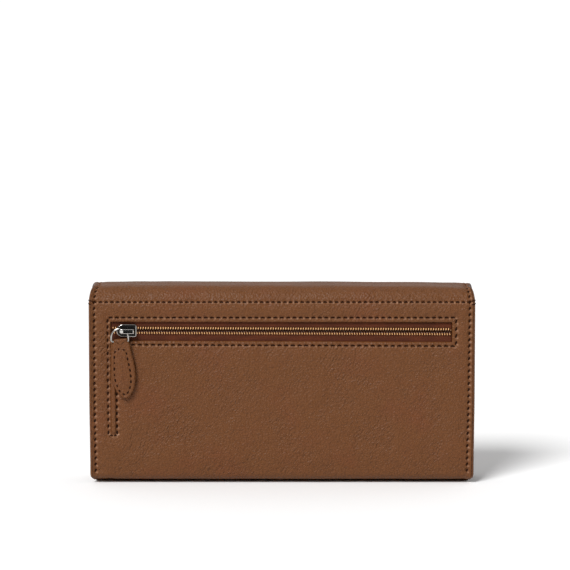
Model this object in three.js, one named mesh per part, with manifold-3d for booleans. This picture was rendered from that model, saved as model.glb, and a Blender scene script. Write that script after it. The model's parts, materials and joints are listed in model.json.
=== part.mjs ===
// A flap-over long wallet, standing on its folded bottom edge.
// +X runs along the wallet, +Y points to the flap side, -Y to the side with the zip pocket, +Z is up.
// The origin is the middle of the flat base. All sizes are millimetres.
import * as THREE from "three";
import { mergeVertices } from "three/addons/utils/BufferGeometryUtils.js";
import Module from "manifold-3d";

const wasm = await Module();
wasm.setup();

// ---- driving dimensions ----
const LENGTH = 190;
const HEIGHT = 97.5;
const DEPTH = 30;
const GAP = 0.2; // space between two layers that lie on each other
const LEATHER = 1.2;
const THIN_LEATHER = 0.7;
const LINING = 0.6;
const BOARD = 0.8;

const BACK_FACE = -DEPTH / 2;
const FLAP_FACE = DEPTH / 2;
const SHELL_END = LENGTH / 2;
const INNER_END = SHELL_END - 4;

// the flap's arch over the top
const BEND_RADIUS = 9;
const BEND_Z = HEIGHT - BEND_RADIUS;
const BEND_Y = FLAP_FACE - BEND_RADIUS;
const MITRE = Math.PI / 4; // the bends part halfway round
const MITRE_GAP = 0.025; // radians left open on each side of a parting line
const FLAP_TIP_Z = 27;
const FLAP_CORNER = 9;
const FLAP_STIFFENER = 0.6;
const STIFFENER_TOP = 84;

// the folded bottom
const BASE_RADIUS = 2.5;
const FRONT_FACE = 8.5;
const PANEL_FOOT = BASE_RADIUS + 0.15;
const LAYER_FOOT = 3;

// the two compartments and the three walls between the back and the flap
const WALL_TOP = 84;
const BACK_BOARD_Y = -11.3;
const BACK_LINING_Y = -10.3;
const DIVIDER_Y = -4.9;
const DIVIDER_TOP = 82;
const FRONT_WALL_Y = 2.6;
const FRONT_PANEL_TOP = 48;
const CARD_SLOT_TOPS = [82, 71, 60];
const GUSSET_FOLD_DEPTH = 11;
const GUSSET_LEAF = 0.7;

// the zip pocket in the back
const WINDOW = { left: -84, right: 83.5, bottom: 71, top: 80.3 };
const WELT = { left: -84, right: -82, bottom: 26.3, top: 70.8, proud: 0.2 };
const WELT_ROOM = 0.15;
const ZIP_Z = 76.2;
const TAPE = { front: -13.5, back: -13, top: 83.4, bottom: 67.8 };
const COIL = { front: -14.9, back: -13.6, inner: 0.45, outer: 1.95 };
const POCKET = { halfLength: 84.5, bottom: 20, top: 83.6, sheet: 0.3, front: -13.4, back: -11.5 };
const POCKET_MOUTH = 67;

// the slider, its ring and the leather puller
const SLIDER = { x: -76.4, length: 9.8, width: 6.2, plateFront: -15.95, plateBack: -15.15 };
const SLIDER_BACK_PLATE = { front: -12.8, back: -12.1 };
const CROWN = { left: -81, shoulder: -78.4, right: -72.3, halfNose: 0.5, half: 1.25, under: -18.1, front: -18.9 };
const RING = { wire: 0.5, radius: 4.2, x: -79.65, y: -16.85, z: 73.45, corner: 1, bar: 71.2 };
const PULLER = { length: 28.4, neck: 3.4, shoulder: 4.2, widest: 6.3, thickness: 2.6, tilt: 4.8 };
const PULLER_FOLD_RADIUS = 1.5;
const PULLER_BORE = 0.85;

// the magnetic snap
const SNAP = { z: 38, radius: 7, washer: 6.5, washerThickness: 0.4, stud: 1.7, socket: 2.3 };

// ---- materials ----
function material(color, roughness, metalness = 0) {
  return new THREE.MeshStandardMaterial({ color, roughness, metalness });
}

const leather = material(0x71503a, 0.62);
const lining = material(0x5c3f2b, 0.8);
const board = material(0xb9a988, 0.95);
const tape = material(0x542e1c, 0.9);
const nylon = material(0xa8824e, 0.45);
const gunmetal = material(0x4a4a4a, 0.3, 1);
const steel = material(0xa9a9a5, 0.28, 1);

// ---- solids ----
function toSolid(geometry) {
  const bare = geometry.index ? geometry.toNonIndexed() : geometry.clone();
  bare.deleteAttribute("normal");
  bare.deleteAttribute("uv");
  const merged = mergeVertices(bare, 1e-4);
  return new wasm.Manifold(
    new wasm.Mesh({
      numProp: 3,
      vertProperties: merged.attributes.position.array,
      triVerts: new Uint32Array(merged.index.array),
    }),
  );
}

function toGeometry(solid) {
  const mesh = solid.getMesh();
  const geometry = new THREE.BufferGeometry();
  geometry.setAttribute("position", new THREE.BufferAttribute(mesh.vertProperties, 3));
  geometry.setIndex(new THREE.BufferAttribute(mesh.triVerts, 1));
  return geometry;
}

function join(...geometries) {
  return toGeometry(geometries.map(toSolid).reduce((whole, part) => whole.add(part)));
}

function cut(geometry, ...tools) {
  return toGeometry(tools.map(toSolid).reduce((rest, tool) => rest.subtract(tool), toSolid(geometry)));
}

// ---- shapes ----
// A section drawn in Y and Z, pushed along X.
function alongX(section, left, right) {
  const geometry = new THREE.ExtrudeGeometry(section, {
    depth: right - left,
    bevelEnabled: false,
    curveSegments: 10,
  });
  geometry.applyMatrix4(
    new THREE.Matrix4().makeBasis(
      new THREE.Vector3(0, 1, 0),
      new THREE.Vector3(0, 0, 1),
      new THREE.Vector3(1, 0, 0),
    ),
  );
  return geometry.translate(left, 0, 0);
}

// An outline drawn in X and Z, pushed from one Y to another.
function alongY(outline, front, back, curveSegments = 10) {
  const geometry = new THREE.ExtrudeGeometry(outline, {
    depth: back - front,
    bevelEnabled: false,
    curveSegments,
  });
  return geometry.rotateX(Math.PI / 2).translate(0, back, 0);
}

// A shape drawn in X and Y, pushed up along Z.
function alongZ(outline, bottom, top) {
  const geometry = new THREE.ExtrudeGeometry(outline, { depth: top - bottom, bevelEnabled: false });
  return geometry.translate(0, 0, bottom);
}

function box(left, right, front, back, bottom, top) {
  const geometry = new THREE.BoxGeometry(right - left, back - front, top - bottom);
  return geometry.translate((left + right) / 2, (front + back) / 2, (bottom + top) / 2);
}

function disc(radius, front, back, z) {
  return new THREE.CylinderGeometry(radius, radius, back - front, 32).translate(0, (front + back) / 2, z);
}

// An upright rectangle whose two lower corners are rounded.
function roundFootedOutline(halfLength, bottom, top, corner) {
  const outline = new THREE.Shape();
  outline.moveTo(-halfLength, top);
  outline.lineTo(-halfLength, bottom + corner);
  outline.absarc(-halfLength + corner, bottom + corner, corner, Math.PI, 1.5 * Math.PI, false);
  outline.absarc(halfLength - corner, bottom + corner, corner, 1.5 * Math.PI, 2 * Math.PI, false);
  outline.lineTo(halfLength, top);
  outline.closePath();
  return outline;
}

// ---- assembly ----
const wallet = new THREE.Group();

function place(name, geometry, look) {
  const mesh = new THREE.Mesh(geometry, look.clone());
  mesh.name = name;
  wallet.add(mesh);
  return mesh;
}

// ---- the outer shell: back, arch and flap, in layers that follow one another round the bends ----
// A layer lies between two depths under the shell's outer surface.
function backLayer(outer, inner, foot) {
  const section = new THREE.Shape();
  const end = Math.PI - MITRE + MITRE_GAP;
  section.moveTo(BACK_FACE + inner, foot);
  section.absarc(-BEND_Y, BEND_Z, BEND_RADIUS - inner, Math.PI, end, true);
  section.absarc(-BEND_Y, BEND_Z, BEND_RADIUS - outer, end, Math.PI, false);
  section.lineTo(BACK_FACE + outer, foot);
  section.closePath();
  return section;
}

function archLayer(outer, inner) {
  const section = new THREE.Shape();
  const rear = Math.PI - MITRE - MITRE_GAP;
  const front = MITRE + MITRE_GAP;
  section.absarc(-BEND_Y, BEND_Z, BEND_RADIUS - outer, rear, Math.PI / 2, true);
  section.absarc(BEND_Y, BEND_Z, BEND_RADIUS - outer, Math.PI / 2, front, true);
  section.absarc(BEND_Y, BEND_Z, BEND_RADIUS - inner, front, Math.PI / 2, false);
  section.absarc(-BEND_Y, BEND_Z, BEND_RADIUS - inner, Math.PI / 2, rear, false);
  section.closePath();
  return section;
}

function flapLayer(outer, inner) {
  const section = new THREE.Shape();
  const start = MITRE - MITRE_GAP;
  section.absarc(BEND_Y, BEND_Z, BEND_RADIUS - outer, start, 0, true);
  section.lineTo(FLAP_FACE - outer, FLAP_TIP_Z);
  section.lineTo(FLAP_FACE - inner, FLAP_TIP_Z);
  section.absarc(BEND_Y, BEND_Z, BEND_RADIUS - inner, 0, start, false);
  section.closePath();
  return section;
}

// The flap's two lower corners, as tools that cut them round.
function flapCornerTool(side) {
  const outline = new THREE.Shape();
  const x = side * SHELL_END;
  const centre = side * (SHELL_END - FLAP_CORNER);
  const beyond = side * (SHELL_END + 1);
  outline.moveTo(x, FLAP_TIP_Z + FLAP_CORNER);
  if (side > 0) outline.absarc(centre, FLAP_TIP_Z + FLAP_CORNER, FLAP_CORNER, 0, -Math.PI / 2, true);
  else outline.absarc(centre, FLAP_TIP_Z + FLAP_CORNER, FLAP_CORNER, Math.PI, 1.5 * Math.PI, false);
  outline.lineTo(centre, FLAP_TIP_Z - 1);
  outline.lineTo(beyond, FLAP_TIP_Z - 1);
  outline.lineTo(beyond, FLAP_TIP_Z + FLAP_CORNER);
  outline.closePath();
  return alongY(outline, FLAP_FACE - 5, FLAP_FACE + 1);
}

const flapCornerTools = [flapCornerTool(-1), flapCornerTool(1)];
const liningDepth = LEATHER + GAP + FLAP_STIFFENER + GAP;

function addBackPanel() {
  const sheet = alongX(backLayer(0, LEATHER, PANEL_FOOT), -SHELL_END, SHELL_END);
  const through = [BACK_FACE - 1, BACK_FACE + LEATHER + 1];
  const window = box(WINDOW.left, WINDOW.right, ...through, WINDOW.bottom, WINDOW.top);
  const slot = box(
    WELT.left - WELT_ROOM,
    WELT.right + WELT_ROOM,
    ...through,
    WELT.bottom - WELT_ROOM,
    WINDOW.bottom + 0.1,
  );
  place("back_panel", cut(sheet, window, slot), leather);
  const weltBack = BACK_FACE + LEATHER - GAP;
  const welt = box(WELT.left, WELT.right, BACK_FACE - WELT.proud, weltBack, WELT.bottom, WELT.top);
  place("slot_welt", welt, leather);
}

function addFlap() {
  place("flap_top_leather", alongX(archLayer(0, LEATHER), -SHELL_END, SHELL_END), leather);
  place("flap_top_lining", alongX(archLayer(liningDepth, liningDepth + LINING), -INNER_END, INNER_END), lining);
  const face = alongX(flapLayer(0, LEATHER), -SHELL_END, SHELL_END);
  place("flap_front_leather", cut(face, ...flapCornerTools), leather);
  const inside = alongX(flapLayer(liningDepth, liningDepth + LINING), -SHELL_END, SHELL_END);
  place("flap_front_lining", cut(inside, ...flapCornerTools), lining);
  const stiffenerFront = FLAP_FACE - LEATHER - GAP - FLAP_STIFFENER;
  const outline = roundFootedOutline(INNER_END, FLAP_TIP_Z + 3, STIFFENER_TOP, FLAP_CORNER - 3);
  const sheet = alongY(outline, stiffenerFront, stiffenerFront + FLAP_STIFFENER);
  const washerHole = disc(SNAP.washer + 0.4, stiffenerFront - 1, stiffenerFront + 2, SNAP.z);
  place("flap_stiffener", cut(sheet, washerHole), board);
}

// The leather folded under the compartments, with a round edge front and back.
function addBottomFold() {
  const section = new THREE.Shape();
  const rear = BACK_FACE + BASE_RADIUS;
  const front = FRONT_FACE - BASE_RADIUS;
  section.moveTo(BACK_FACE, BASE_RADIUS);
  section.absarc(rear, BASE_RADIUS, BASE_RADIUS, Math.PI, 1.5 * Math.PI, false);
  section.absarc(front, BASE_RADIUS, BASE_RADIUS, 1.5 * Math.PI, 2 * Math.PI, false);
  section.absarc(front, BASE_RADIUS, BASE_RADIUS - LEATHER, 2 * Math.PI, 1.5 * Math.PI, true);
  section.absarc(rear, BASE_RADIUS, BASE_RADIUS - LEATHER, 1.5 * Math.PI, Math.PI, true);
  section.closePath();
  place("bottom_fold", alongX(section, -SHELL_END, SHELL_END), leather);
}

// ---- the walls inside ----
function wall(name, halfLength, front, thickness, top, look) {
  place(name, box(-halfLength, halfLength, front, front + thickness, LAYER_FOOT, top), look);
}

function addBackWall() {
  wall("back_board", INNER_END, BACK_BOARD_Y, BOARD, WALL_TOP, board);
  const depth = BACK_LINING_Y - BACK_FACE;
  place("back_lining", alongX(backLayer(depth, depth + LINING, LAYER_FOOT), -INNER_END, INNER_END), lining);
}

function addDivider() {
  const boardY = DIVIDER_Y + THIN_LEATHER + GAP;
  wall("divider_rear_leather", INNER_END, DIVIDER_Y, THIN_LEATHER, DIVIDER_TOP, leather);
  wall("divider_board", INNER_END - 2, boardY, BOARD, DIVIDER_TOP - 2, board);
  wall("divider_front_leather", INNER_END, boardY + BOARD + GAP, THIN_LEATHER, DIVIDER_TOP, leather);
}

function addFrontSection() {
  const boardY = FRONT_WALL_Y + THIN_LEATHER + GAP;
  wall("front_inner_wall", INNER_END, FRONT_WALL_Y, THIN_LEATHER, WALL_TOP, leather);
  wall("front_board", INNER_END - 2, boardY, THIN_LEATHER, WALL_TOP - 2, board);
  CARD_SLOT_TOPS.forEach((top, i) => {
    const front = boardY + (i + 1) * (THIN_LEATHER + GAP);
    wall("card_slot_" + (i + 1), INNER_END, front, THIN_LEATHER, top, leather);
  });
  const outline = new THREE.Shape();
  outline.moveTo(-SHELL_END, PANEL_FOOT);
  outline.lineTo(SHELL_END, PANEL_FOOT);
  outline.lineTo(SHELL_END, FRONT_PANEL_TOP);
  outline.lineTo(-SHELL_END, FRONT_PANEL_TOP);
  outline.closePath();
  place("front_panel", alongY(outline, FRONT_FACE - LEATHER, FRONT_FACE), leather);
}

// Each end of a compartment is closed by a strip folded inwards in a V.
function gusset(side, front, back) {
  const outer = side * INNER_END;
  const apex = side * (INNER_END - GUSSET_FOLD_DEPTH);
  const middle = (front + back) / 2;
  const slope = (GUSSET_LEAF * side * GUSSET_FOLD_DEPTH) / ((back - front) / 2);
  const points = [
    [outer, front],
    [apex, middle],
    [outer, back],
    [outer, back - GUSSET_LEAF],
    [apex + slope, middle],
    [outer, front + GUSSET_LEAF],
  ];
  const outline = new THREE.Shape(points.map(([x, y]) => new THREE.Vector2(x, y)));
  return alongZ(outline, LAYER_FOOT + 2, DIVIDER_TOP - 2);
}

function addGussets() {
  const rear = [BACK_LINING_Y + LINING + GAP, DIVIDER_Y - GAP];
  const front = [DIVIDER_Y + 2 * THIN_LEATHER + BOARD + 3 * GAP, FRONT_WALL_Y - GAP];
  for (const [word, side] of [["left", -1], ["right", 1]]) {
    place("gusset_rear_" + word, gusset(side, ...rear), leather);
    place("gusset_front_" + word, gusset(side, ...front), leather);
  }
}

// ---- the zip pocket ----
function addZip() {
  const left = WINDOW.left - 2;
  const right = WINDOW.right + 2;
  const rows = [
    ["upper", ZIP_Z + COIL.inner, ZIP_Z + COIL.outer, ZIP_Z + COIL.inner, TAPE.top],
    ["lower", ZIP_Z - COIL.outer, ZIP_Z - COIL.inner, TAPE.bottom, ZIP_Z - COIL.inner],
  ];
  for (const [word, coilBottom, coilTop, tapeBottom, tapeTop] of rows) {
    place("zip_tape_" + word, box(left, right, TAPE.front, TAPE.back, tapeBottom, tapeTop), tape);
    const coil = box(WINDOW.left + 0.5, WINDOW.right - 0.3, COIL.front, COIL.back, coilBottom, coilTop);
    place("zip_coil_" + word, coil, nylon);
  }
}

// A thin bag: its front sheet ends under the zip, its back sheet rises behind it.
function addPocketBag() {
  const section = new THREE.Shape();
  section.moveTo(POCKET.front, POCKET.bottom);
  section.lineTo(POCKET.back, POCKET.bottom);
  section.lineTo(POCKET.back, POCKET.top);
  section.lineTo(POCKET.back - POCKET.sheet, POCKET.top);
  section.lineTo(POCKET.back - POCKET.sheet, POCKET.bottom + POCKET.sheet);
  section.lineTo(POCKET.front + POCKET.sheet, POCKET.bottom + POCKET.sheet);
  section.lineTo(POCKET.front + POCKET.sheet, POCKET_MOUTH);
  section.lineTo(POCKET.front, POCKET_MOUTH);
  section.closePath();
  place("zip_pocket_bag", alongX(section, -POCKET.halfLength, POCKET.halfLength), lining);
}

// Seen from the front, a slider plate has a round nose on the left and a slightly narrower tail.
function sliderOutline() {
  const half = SLIDER.width / 2;
  const left = SLIDER.x - SLIDER.length / 2;
  const right = SLIDER.x + SLIDER.length / 2;
  const outline = new THREE.Shape();
  outline.moveTo(left, ZIP_Z);
  outline.bezierCurveTo(left, ZIP_Z + 1.8, left + 1, ZIP_Z + half, left + 3.2, ZIP_Z + half);
  outline.lineTo(right - 0.4, ZIP_Z + half - 0.2);
  outline.lineTo(right, ZIP_Z + half - 0.6);
  outline.lineTo(right, ZIP_Z - half + 0.6);
  outline.lineTo(right - 0.4, ZIP_Z - half + 0.2);
  outline.lineTo(left + 3.2, ZIP_Z - half);
  outline.bezierCurveTo(left + 1, ZIP_Z - half, left, ZIP_Z - 1.8, left, ZIP_Z);
  return outline;
}

// The crown bridges the front plate; its nose is narrow, so that the ring can swing past it.
function crownOutline() {
  const outline = new THREE.Shape();
  outline.moveTo(CROWN.left, ZIP_Z - CROWN.halfNose);
  outline.lineTo(CROWN.shoulder, ZIP_Z - CROWN.half);
  outline.lineTo(CROWN.right, ZIP_Z - CROWN.half);
  outline.lineTo(CROWN.right, ZIP_Z + CROWN.half);
  outline.lineTo(CROWN.shoulder, ZIP_Z + CROWN.half);
  outline.lineTo(CROWN.left, ZIP_Z + CROWN.halfNose);
  outline.closePath();
  return outline;
}

function addSlider() {
  const half = SLIDER.width / 2;
  const plate = alongY(sliderOutline(), SLIDER.plateFront, SLIDER.plateBack, 5);
  const backPlate = alongY(sliderOutline(), SLIDER_BACK_PLATE.front, SLIDER_BACK_PLATE.back, 5);
  const left = SLIDER.x - SLIDER.length / 2;
  const right = SLIDER.x + SLIDER.length / 2;
  const bite = 0.1; // how far joined blocks reach into each other
  const flanges = [-1, 1].map((side) => {
    const edge = ZIP_Z + side * (half - 0.25);
    const inner = ZIP_Z + side * (COIL.outer + 0.25);
    const range = [Math.min(edge, inner), Math.max(edge, inner)];
    return box(left + 3, right - 0.6, SLIDER.plateBack - bite, TAPE.front - 0.25, ...range);
  });
  const postRange = [SLIDER.plateBack - bite, SLIDER_BACK_PLATE.front + bite];
  const post = box(left + 0.8, left + 2.6, ...postRange, ZIP_Z - 0.22, ZIP_Z + 0.22);
  const strap = alongY(crownOutline(), CROWN.front, CROWN.under);
  const legRange = [CROWN.under - bite, SLIDER.plateFront + bite];
  const frontLeg = box(CROWN.left, CROWN.left + 1, ...legRange, ZIP_Z - 0.6, ZIP_Z + CROWN.halfNose);
  const rearLeg = box(CROWN.right - 0.9, CROWN.right, ...legRange, ZIP_Z - 1.2, ZIP_Z + 1.2);
  place("zip_slider", join(plate, backPlate, ...flanges, post, strap, frontLeg, rearLeg), gunmetal);
}

// A wire loop with a round top and a straight bar below.
function addRing() {
  const loop = new THREE.Path();
  const corner = RING.bar + RING.corner - RING.z;
  loop.absarc(0, 0, RING.radius, 0, Math.PI, false);
  loop.absarc(-RING.radius + RING.corner, corner, RING.corner, Math.PI, 1.5 * Math.PI, false);
  loop.absarc(RING.radius - RING.corner, corner, RING.corner, 1.5 * Math.PI, 2 * Math.PI, false);
  loop.closePath();
  const steps = 48;
  const points = loop.getSpacedPoints(steps).slice(0, steps);
  const route = new THREE.CatmullRomCurve3(
    points.map((p) => new THREE.Vector3(p.x, 0, p.y)),
    true,
  );
  const ring = place("pull_ring", new THREE.TubeGeometry(route, steps, RING.wire, 10, true), steel);
  ring.position.set(RING.x, RING.y, RING.z);
}

// A drop-shaped tab of doubled leather, its neck folded round the ring's bar.
function addPuller() {
  const { neck, shoulder, widest, length, thickness, tilt } = PULLER;
  const outline = new THREE.Shape();
  outline.moveTo(-neck, 0);
  outline.lineTo(-neck, -1);
  outline.lineTo(-shoulder, -1.9);
  outline.bezierCurveTo(-shoulder - 0.9, -8, -widest, -12, -widest, -17);
  outline.bezierCurveTo(-widest, -23, -3.4, -length, 0, -length);
  outline.bezierCurveTo(3.4, -length, widest, -23, widest, -17);
  outline.bezierCurveTo(widest, -12, shoulder + 0.9, -8, shoulder, -1.9);
  outline.lineTo(neck, -1);
  outline.lineTo(neck, 0);
  outline.closePath();
  const tab = alongY(outline, -thickness / 2, thickness / 2, 8);
  const acrossX = (radius, half) => new THREE.CylinderGeometry(radius, radius, 2 * half, 24).rotateZ(Math.PI / 2);
  const doubled = join(tab, acrossX(PULLER_FOLD_RADIUS, neck));
  // the bore is along the bar, which stays level while the tab hangs a little aslant
  const slant = THREE.MathUtils.degToRad(tilt);
  const bore = acrossX(PULLER_BORE, 2 * neck).rotateY(slant);
  const puller = place("puller_tab", cut(doubled, bore), leather);
  puller.position.set(RING.x, RING.y, RING.bar);
  puller.rotation.y = -slant;
}

// ---- the magnetic snap ----
function addSnap() {
  const liningFace = FLAP_FACE - liningDepth - LINING;
  const studFront = liningFace - 1.1;
  const stud = disc(SNAP.stud, FRONT_FACE + 0.8, studFront + 0.1, SNAP.z);
  const studDisc = disc(SNAP.radius, studFront, liningFace - 0.1, SNAP.z);
  place("snap_stud", join(studDisc, stud), steel);
  const washerFront = FLAP_FACE - LEATHER - GAP - 0.5;
  place("snap_stud_washer", disc(SNAP.washer, washerFront, washerFront + SNAP.washerThickness, SNAP.z), steel);
  const socketDisc = disc(SNAP.radius, FRONT_FACE + 0.1, FRONT_FACE + 1.7, SNAP.z);
  const hole = disc(SNAP.socket, FRONT_FACE + 0.5, FRONT_FACE + 3, SNAP.z);
  place("snap_socket", cut(socketDisc, hole), steel);
}

addBackPanel();
addFlap();
addBottomFold();
addBackWall();
addDivider();
addFrontSection();
addGussets();
addZip();
addPocketBag();
addSlider();
addRing();
addPuller();
addSnap();

export default wallet;
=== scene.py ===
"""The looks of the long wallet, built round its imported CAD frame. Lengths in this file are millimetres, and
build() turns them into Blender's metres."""

import json
import math

import bpy
import numpy as np
from mathutils import Matrix, Vector


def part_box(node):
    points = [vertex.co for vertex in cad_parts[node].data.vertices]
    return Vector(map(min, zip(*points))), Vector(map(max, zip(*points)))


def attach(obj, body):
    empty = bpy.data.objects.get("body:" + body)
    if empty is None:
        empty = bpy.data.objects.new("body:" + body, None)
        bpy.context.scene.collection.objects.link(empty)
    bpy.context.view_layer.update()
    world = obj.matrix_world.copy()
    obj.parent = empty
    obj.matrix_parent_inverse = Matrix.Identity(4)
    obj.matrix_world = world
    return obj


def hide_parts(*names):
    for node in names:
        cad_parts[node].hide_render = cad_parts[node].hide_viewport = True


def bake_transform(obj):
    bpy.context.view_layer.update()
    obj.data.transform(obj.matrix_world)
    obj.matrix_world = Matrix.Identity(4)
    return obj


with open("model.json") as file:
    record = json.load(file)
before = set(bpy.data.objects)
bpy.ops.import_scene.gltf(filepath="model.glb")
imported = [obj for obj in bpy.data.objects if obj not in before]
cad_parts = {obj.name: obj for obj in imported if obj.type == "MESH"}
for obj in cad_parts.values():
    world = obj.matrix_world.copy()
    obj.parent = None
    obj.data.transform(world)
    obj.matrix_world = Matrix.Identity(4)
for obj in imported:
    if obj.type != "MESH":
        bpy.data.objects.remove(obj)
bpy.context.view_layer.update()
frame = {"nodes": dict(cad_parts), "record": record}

MM = 0.001
RANDOM_SEED = 11
LATTICE = 256  # how many cells the noise has each way before it repeats


def box(node):
    """A CAD node's lowest and highest corners in millimetres."""
    low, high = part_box(node)
    return np.array(low) / MM, np.array(high) / MM


# ---------------------------------------------------------------- sizes, from the frame
back_low, back_high = box("back_panel")
flap_low, flap_high = box("flap_front_leather")
front_high = box("front_panel")[1]
welt_low, welt_high = box("slot_welt")
HALF = back_high[0]
BACK_Y = back_low[1]
FLAP_Y = flap_high[1]
TOP_Z = box("flap_top_leather")[1][2]
TIP_Z = flap_low[2]
FRONT_Y = front_high[1]
FRONT_TOP = front_high[2]
ZIP_Z = (box("zip_coil_lower")[1][2] + box("zip_coil_upper")[0][2]) / 2

BEND = 9.0  # radius of the two bends over the top
FOOT = box("bottom_fold")[1][2]  # radius of the folded bottom edge at the front
BACK_FOOT = 5.5  # the back turns under more softly
BASE_Y = -3.0  # where the back's leather and the front's meet, under the base
BACK_WALL = 5.3  # the back wall's thickness, and the flap's
FLAP_WALL = 2.8
WINDOW = {"left": -84.0, "right": 83.5, "bottom": 71.0, "top": 80.3}  # the zip's opening in the back

# ---------------------------------------------------------------- camera, lights and floor
CAMERA_DISTANCE = 1900.0
CAMERA_ELEVATION = math.radians(8.1)
SENSOR_WIDTH = 36
VIEW_WIDTH = 279.6  # what the picture spans across at the wallet's back
AIM = Vector((1.5, BACK_Y, 99.1))
KEY_PLACE = Vector((-640, -1100, 1250))
KEY_POWER = 3.15
KEY_ANGLE = math.radians(25)  # how wide the key light is, seen from the wallet
BACKDROP = {"From Min": -0.9, "From Max": 0.5, "To Min": 0.16, "To Max": 0.66}  # light by direction in Y
FLOOR_REACH = 6000.0


def add_aimed(name, data, place, target):
    """A camera or a light at place that looks at target."""
    thing = bpy.data.objects.new(name, data)
    bpy.context.scene.collection.objects.link(thing)
    turn = (place - target).to_track_quat("Z", "Y").to_matrix().to_4x4()
    thing.matrix_world = Matrix.Translation(place * MM) @ turn
    return thing


def add_camera():
    data = bpy.data.cameras.new("camera")
    data.sensor_width = SENSOR_WIDTH
    data.lens = SENSOR_WIDTH * CAMERA_DISTANCE / VIEW_WIDTH
    data.clip_start = 0.01
    away = Vector((0, -math.cos(CAMERA_ELEVATION), math.sin(CAMERA_ELEVATION)))
    bpy.context.scene.camera = add_aimed("camera", data, AIM + away * CAMERA_DISTANCE, AIM)


def add_key_light():
    data = bpy.data.lights.new("key", "SUN")
    data.energy = KEY_POWER
    data.angle = KEY_ANGLE
    add_aimed("key", data, KEY_PLACE, Vector((0, 0, TOP_Z / 2)))


def add_world():
    """A white backdrop whose light on the object is dimmer on the zip side than behind the wallet."""
    world = bpy.data.worlds.new("studio")
    bpy.context.scene.world = world
    world.use_nodes = True
    tree = world.node_tree
    background = tree.nodes["Background"]
    background.inputs["Color"].default_value = (1, 1, 1, 1)
    direction = tree.nodes.new("ShaderNodeTexCoord")
    split = tree.nodes.new("ShaderNodeSeparateXYZ")
    tree.links.new(direction.outputs["Generated"], split.inputs[0])
    fade = tree.nodes.new("ShaderNodeMapRange")
    fade.interpolation_type = "SMOOTHSTEP"
    for socket, value in BACKDROP.items():
        fade.inputs[socket].default_value = value
    tree.links.new(split.outputs["Y"], fade.inputs["Value"])
    seen = tree.nodes.new("ShaderNodeLightPath")
    strength = tree.nodes.new("ShaderNodeMix")
    tree.links.new(seen.outputs["Is Camera Ray"], strength.inputs[0])
    tree.links.new(fade.outputs["Result"], strength.inputs[2])
    strength.inputs[3].default_value = 1.0
    tree.links.new(strength.outputs[0], background.inputs["Strength"])


def add_floor():
    mesh = bpy.data.meshes.new("floor")
    reach = FLOOR_REACH * MM
    corners = [(x * reach, y * reach, 0) for x, y in ((-1, -1), (1, -1), (1, 1), (-1, 1))]
    mesh.from_pydata(corners, [], [(0, 1, 2, 3)])
    floor = bpy.data.objects.new("floor", mesh)
    bpy.context.scene.collection.objects.link(floor)
    material = bpy.data.materials.new("floor_white")
    material.use_nodes = True
    shader = material.node_tree.nodes["Principled BSDF"]
    shader.inputs["Base Color"].default_value = (0.95, 0.95, 0.95, 1)
    shader.inputs["Roughness"].default_value = 0.9
    shader.inputs["Specular IOR Level"].default_value = 0.1
    mesh.materials.append(material)


bpy.context.scene.view_settings.view_transform = "Standard"
add_camera()
add_world()
add_key_light()
add_floor()


# ---------------------------------------------------------------- materials
def linear(red, green, blue):
    """A colour given as 0 to 255 display values, as the shader wants it."""
    def channel(value):
        share = value / 255
        return share / 12.92 if share <= 0.04045 else ((share + 0.055) / 1.055) ** 2.4
    return channel(red), channel(green), channel(blue), 1.0


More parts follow.
